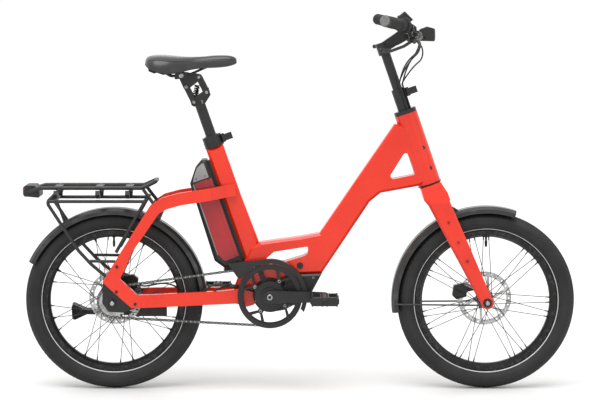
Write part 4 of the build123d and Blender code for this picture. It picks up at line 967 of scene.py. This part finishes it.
# ---------------------------------------------------------------- hubs, brakes and mudguards
def axle_nuts():
    """Six-sided nuts and the rotor screws."""
    for name, centre, body, seat, disc_face in (("rear", REAR, "frame", 74.0, 54.8),
                                                ("front", FRONT, "steering", 72.0, 39.8)):
        nuts = Shape()
        for s in (-1, 1):
            nuts.washer(deep(centre, s * seat), Y_AXIS * s, 13.5, 6.2, 1.4)
            nuts.lathe(deep(centre, s * seat), Y_AXIS * s, [(1, 11.4), (8.6, 11.4), (9.8, 9.8), (9.8, 6.1)],
                       6)
            nuts.lathe(deep(centre, s * seat), Y_AXIS * s, [(3, 6.1), (11.8, 6.1), (12.6, 5.2), (12.6, 0)],
                       24, 1)
        nuts.piece(name + "_nuts", body, "black_metal", [slots["black_metal"], slots["steel"]],
                   bevel=0.3)
        screws = Shape()
        for k in range(6):
            screws.bolt(deep(polar(centre, 22, 30 + 60 * k), disc_face), Y_AXIS, 3.4, 1.8)
        screws.piece(name + "_rotor_screws", name + "_wheel", "black_metal", bevel=0.2)


def mudguard_beads():
    """The rolled edges of the mudguards."""
    for name, centre, radius, start, arc, body in (("rear", REAR, 258, -2, 157, "frame"),
                                                   ("front", FRONT, 262, 71.7, 115.7, "steering")):
        shape = Shape()
        for s in (-1, 1):
            shape.sweep([wheel_point(centre, radius, start + arc * k / 90, s * 34) for k in range(91)],
                        1.6, 8)
        shape.piece(name + "_guard_edges", body, "fender_plastic")


def stand_details():
    """The pivot bolt and the ribbed rubber foot of the side stand."""
    pivot = deep(at_rear(63, -48), 103)
    axis = Vector((0, -0.942, -0.334)).normalized()
    back, tall = -X_AXIS, axis.cross(-X_AXIS)
    bolt = Shape().bolt(pivot - axis * 8.2, -axis, 8.5, 3.2)
    bolt.piece("stand_bolt", "frame", "steel", bevel=0.3)
    foot = Shape()
    for k in range(6):
        foot.block(pivot + back * 197.4 + tall * (-15 + 6 * k), (back, tall, axis), (2.6, 1.9, 9.4))
    foot.block(pivot + back * 195.6, (back, tall, axis), (2.6, 17.5, 9.6))
    foot.piece("stand_foot", "kickstand", "grip_rubber", bevel=0.5)


def frame_details():
    """Threaded inserts and plugs along the frame, and the ring under the head bearing."""
    shape = Shape()
    for x, z in ((362, 718), (383, 658)):
        for s in (-1, 1):
            shape.lathe(deep((x, z), s * 29.6), Y_AXIS * s, [(0, 5.4), (0.9, 5.4), (1.4, 4.8), (1.4, 2.6),
                                                            (0.5, 2.3), (0.5, 0)], 24)
    shape.piece("frame_inserts", "frame", "black_metal")
    # Black screw heads on the three fork bosses, where the fork shows dark holes: their black is painted
    # shade of the holes.
    bosses = Shape()
    top = on_steer(360, 2)
    for share in (0.27, 0.45, 0.62):
        at = tuple(a + share * (b - a) for a, b in zip(top, FRONT))
        for s in (-1, 1):
            bosses.bolt(deep(at, s * 73.2), Y_AXIS * s, 3.9, 1.5)
    bosses.piece("fork_hole_shade_heads", "steering", "black_metal")
    rings = Shape()
    rings.lathe(deep(on_steer(380), 0), STEER_AXIS, [(0.4, 28), (0.4, 35.2), (3.4, 35.6), (4.4, 34.4),
                                                    (4.4, 34)], 48)
    rings.piece("lower_head_ring", "frame", "black_metal")


HOSES = [
    [deep(at_rear(61, 39), 58), deep(at_rear(79, 31), 66), deep(at_rear(105, 34), 76),
     deep(at_rear(139, 41), 77), deep(at_rear(173, 35), 71), deep(at_rear(201, 19), 65)],
    [deep(at_bb(-40, 17), -38), deep(at_bb(-72, 25), -41), deep(at_bb(-106, 30), -43),
     deep(at_bb(-142, 35), -46), deep(at_bb(-176, 30), -50), deep(at_bb(-202, 10), -54)],
    [deep(at_bb(-40, 8), -36), deep(at_bb(-76, 19), -36), deep(at_bb(-112, 25), -36),
     deep(at_bb(-146, 25), -38), deep(at_bb(-174, 8), -44)]]


def hoses():
    shape = Shape()
    for route in HOSES:
        shape.sweep(nurbs(route), 2.5, 12)
    shape.piece("stay_hoses", "frame", "cable_sheath", None, ["rear_hoses"])


# ---------------------------------------------------------------- making every piece
for end, centre in (("front", FRONT), ("rear", REAR)):
    tyre(end + "_rubber", centre, end + "_wheel")
wheel_trim("rear", REAR, "rear_wheel", 32, 50, 27, 40)
wheel_trim("front", FRONT, "front_wheel", 28, 22, 28, 62)
pad = saddle()
for make in (chain, grips, shifter, cables, cable_ends, display_unit, lamp_front, stem_details,
             saddle_trim, spring, link_plates, pin_caps, collar_details, tail_lamp, battery_trim,
             rack_fittings, pedal_details, crank_details, motor_details, axle_nuts, mudguard_beads,
             stand_details, frame_details, hoses):
    make()
paint(frame["nodes"]["tail_light"], slots["guard_plastic"])
paint(frame["nodes"]["headlight"], slots["guard_plastic"])
paint(frame["nodes"]["display"], slots["guard_plastic"])
paint(frame["nodes"]["chainring"], slots["black_metal"])

# ---------------------------------------------------------------- stage, camera and light
mesh = bpy.data.meshes.new("floor")
half = 30.0
corners = [(-half, -half, 0), (half, -half, 0), (half, half, 0), (-half, half, 0)]
mesh.from_pydata(corners, [], [(0, 1, 2, 3)])
floor = bpy.data.objects.new("floor", mesh)
bpy.context.scene.collection.objects.link(floor)
floor_look = Surface("Floor", *grey(209, 213), (0.5, 0.6), patch=0.6, grain=60, height=0.01).done()
paint(floor, floor_look)

camera_data = bpy.data.cameras.new("camera")
camera = bpy.data.objects.new("camera", camera_data)
bpy.context.scene.collection.objects.link(camera)
camera.location = (0.0, -6.5, 1.15)
aim = Vector((0.0, 0.0, 0.5605)) - camera.location
camera.rotation_euler = aim.to_track_quat("-Z", "Y").to_euler()
camera_data.sensor_width, camera_data.lens = 36.0, 132.4
bpy.context.scene.camera = camera


def softbox(name, at, towards, size, power):
    data = bpy.data.lights.new(name, "AREA")
    data.shape, data.size, data.size_y, data.energy = "RECTANGLE", size[0], size[1], power
    light = bpy.data.objects.new(name, data)
    bpy.context.scene.collection.objects.link(light)
    light.location = at
    light.rotation_euler = (Vector(towards) - Vector(at)).to_track_quat("-Z", "Y").to_euler()


softbox("key", (-1.6, -2.6, 3.4), (0, 0, 0.5), (3.0, 2.0), 28)
softbox("fill", (2.8, -3.0, 1.8), (0, 0, 0.5), (2.0, 2.0), 5)
sun_data = bpy.data.lights.new("overhead", "SUN")
sun_data.energy, sun_data.angle = 2.4, math.radians(50)
sun = bpy.data.objects.new("overhead", sun_data)
bpy.context.scene.collection.objects.link(sun)
sun.rotation_euler = Vector((0.12, 0.3, -1.0)).to_track_quat("-Z", "Y").to_euler()
softbox("back", (0.5, 3.2, 2.2), (0, 0, 0.6), (3.0, 1.5), 10)
world = bpy.data.worlds.new("studio")
world.use_nodes = True
world.node_tree.nodes["Background"].inputs["Color"].default_value = (1.0, 1.0, 0.99, 1.0)
world.node_tree.nodes["Background"].inputs["Strength"].default_value = 1.02
bpy.context.scene.world = world
bpy.context.scene.view_settings.view_transform = "Standard"
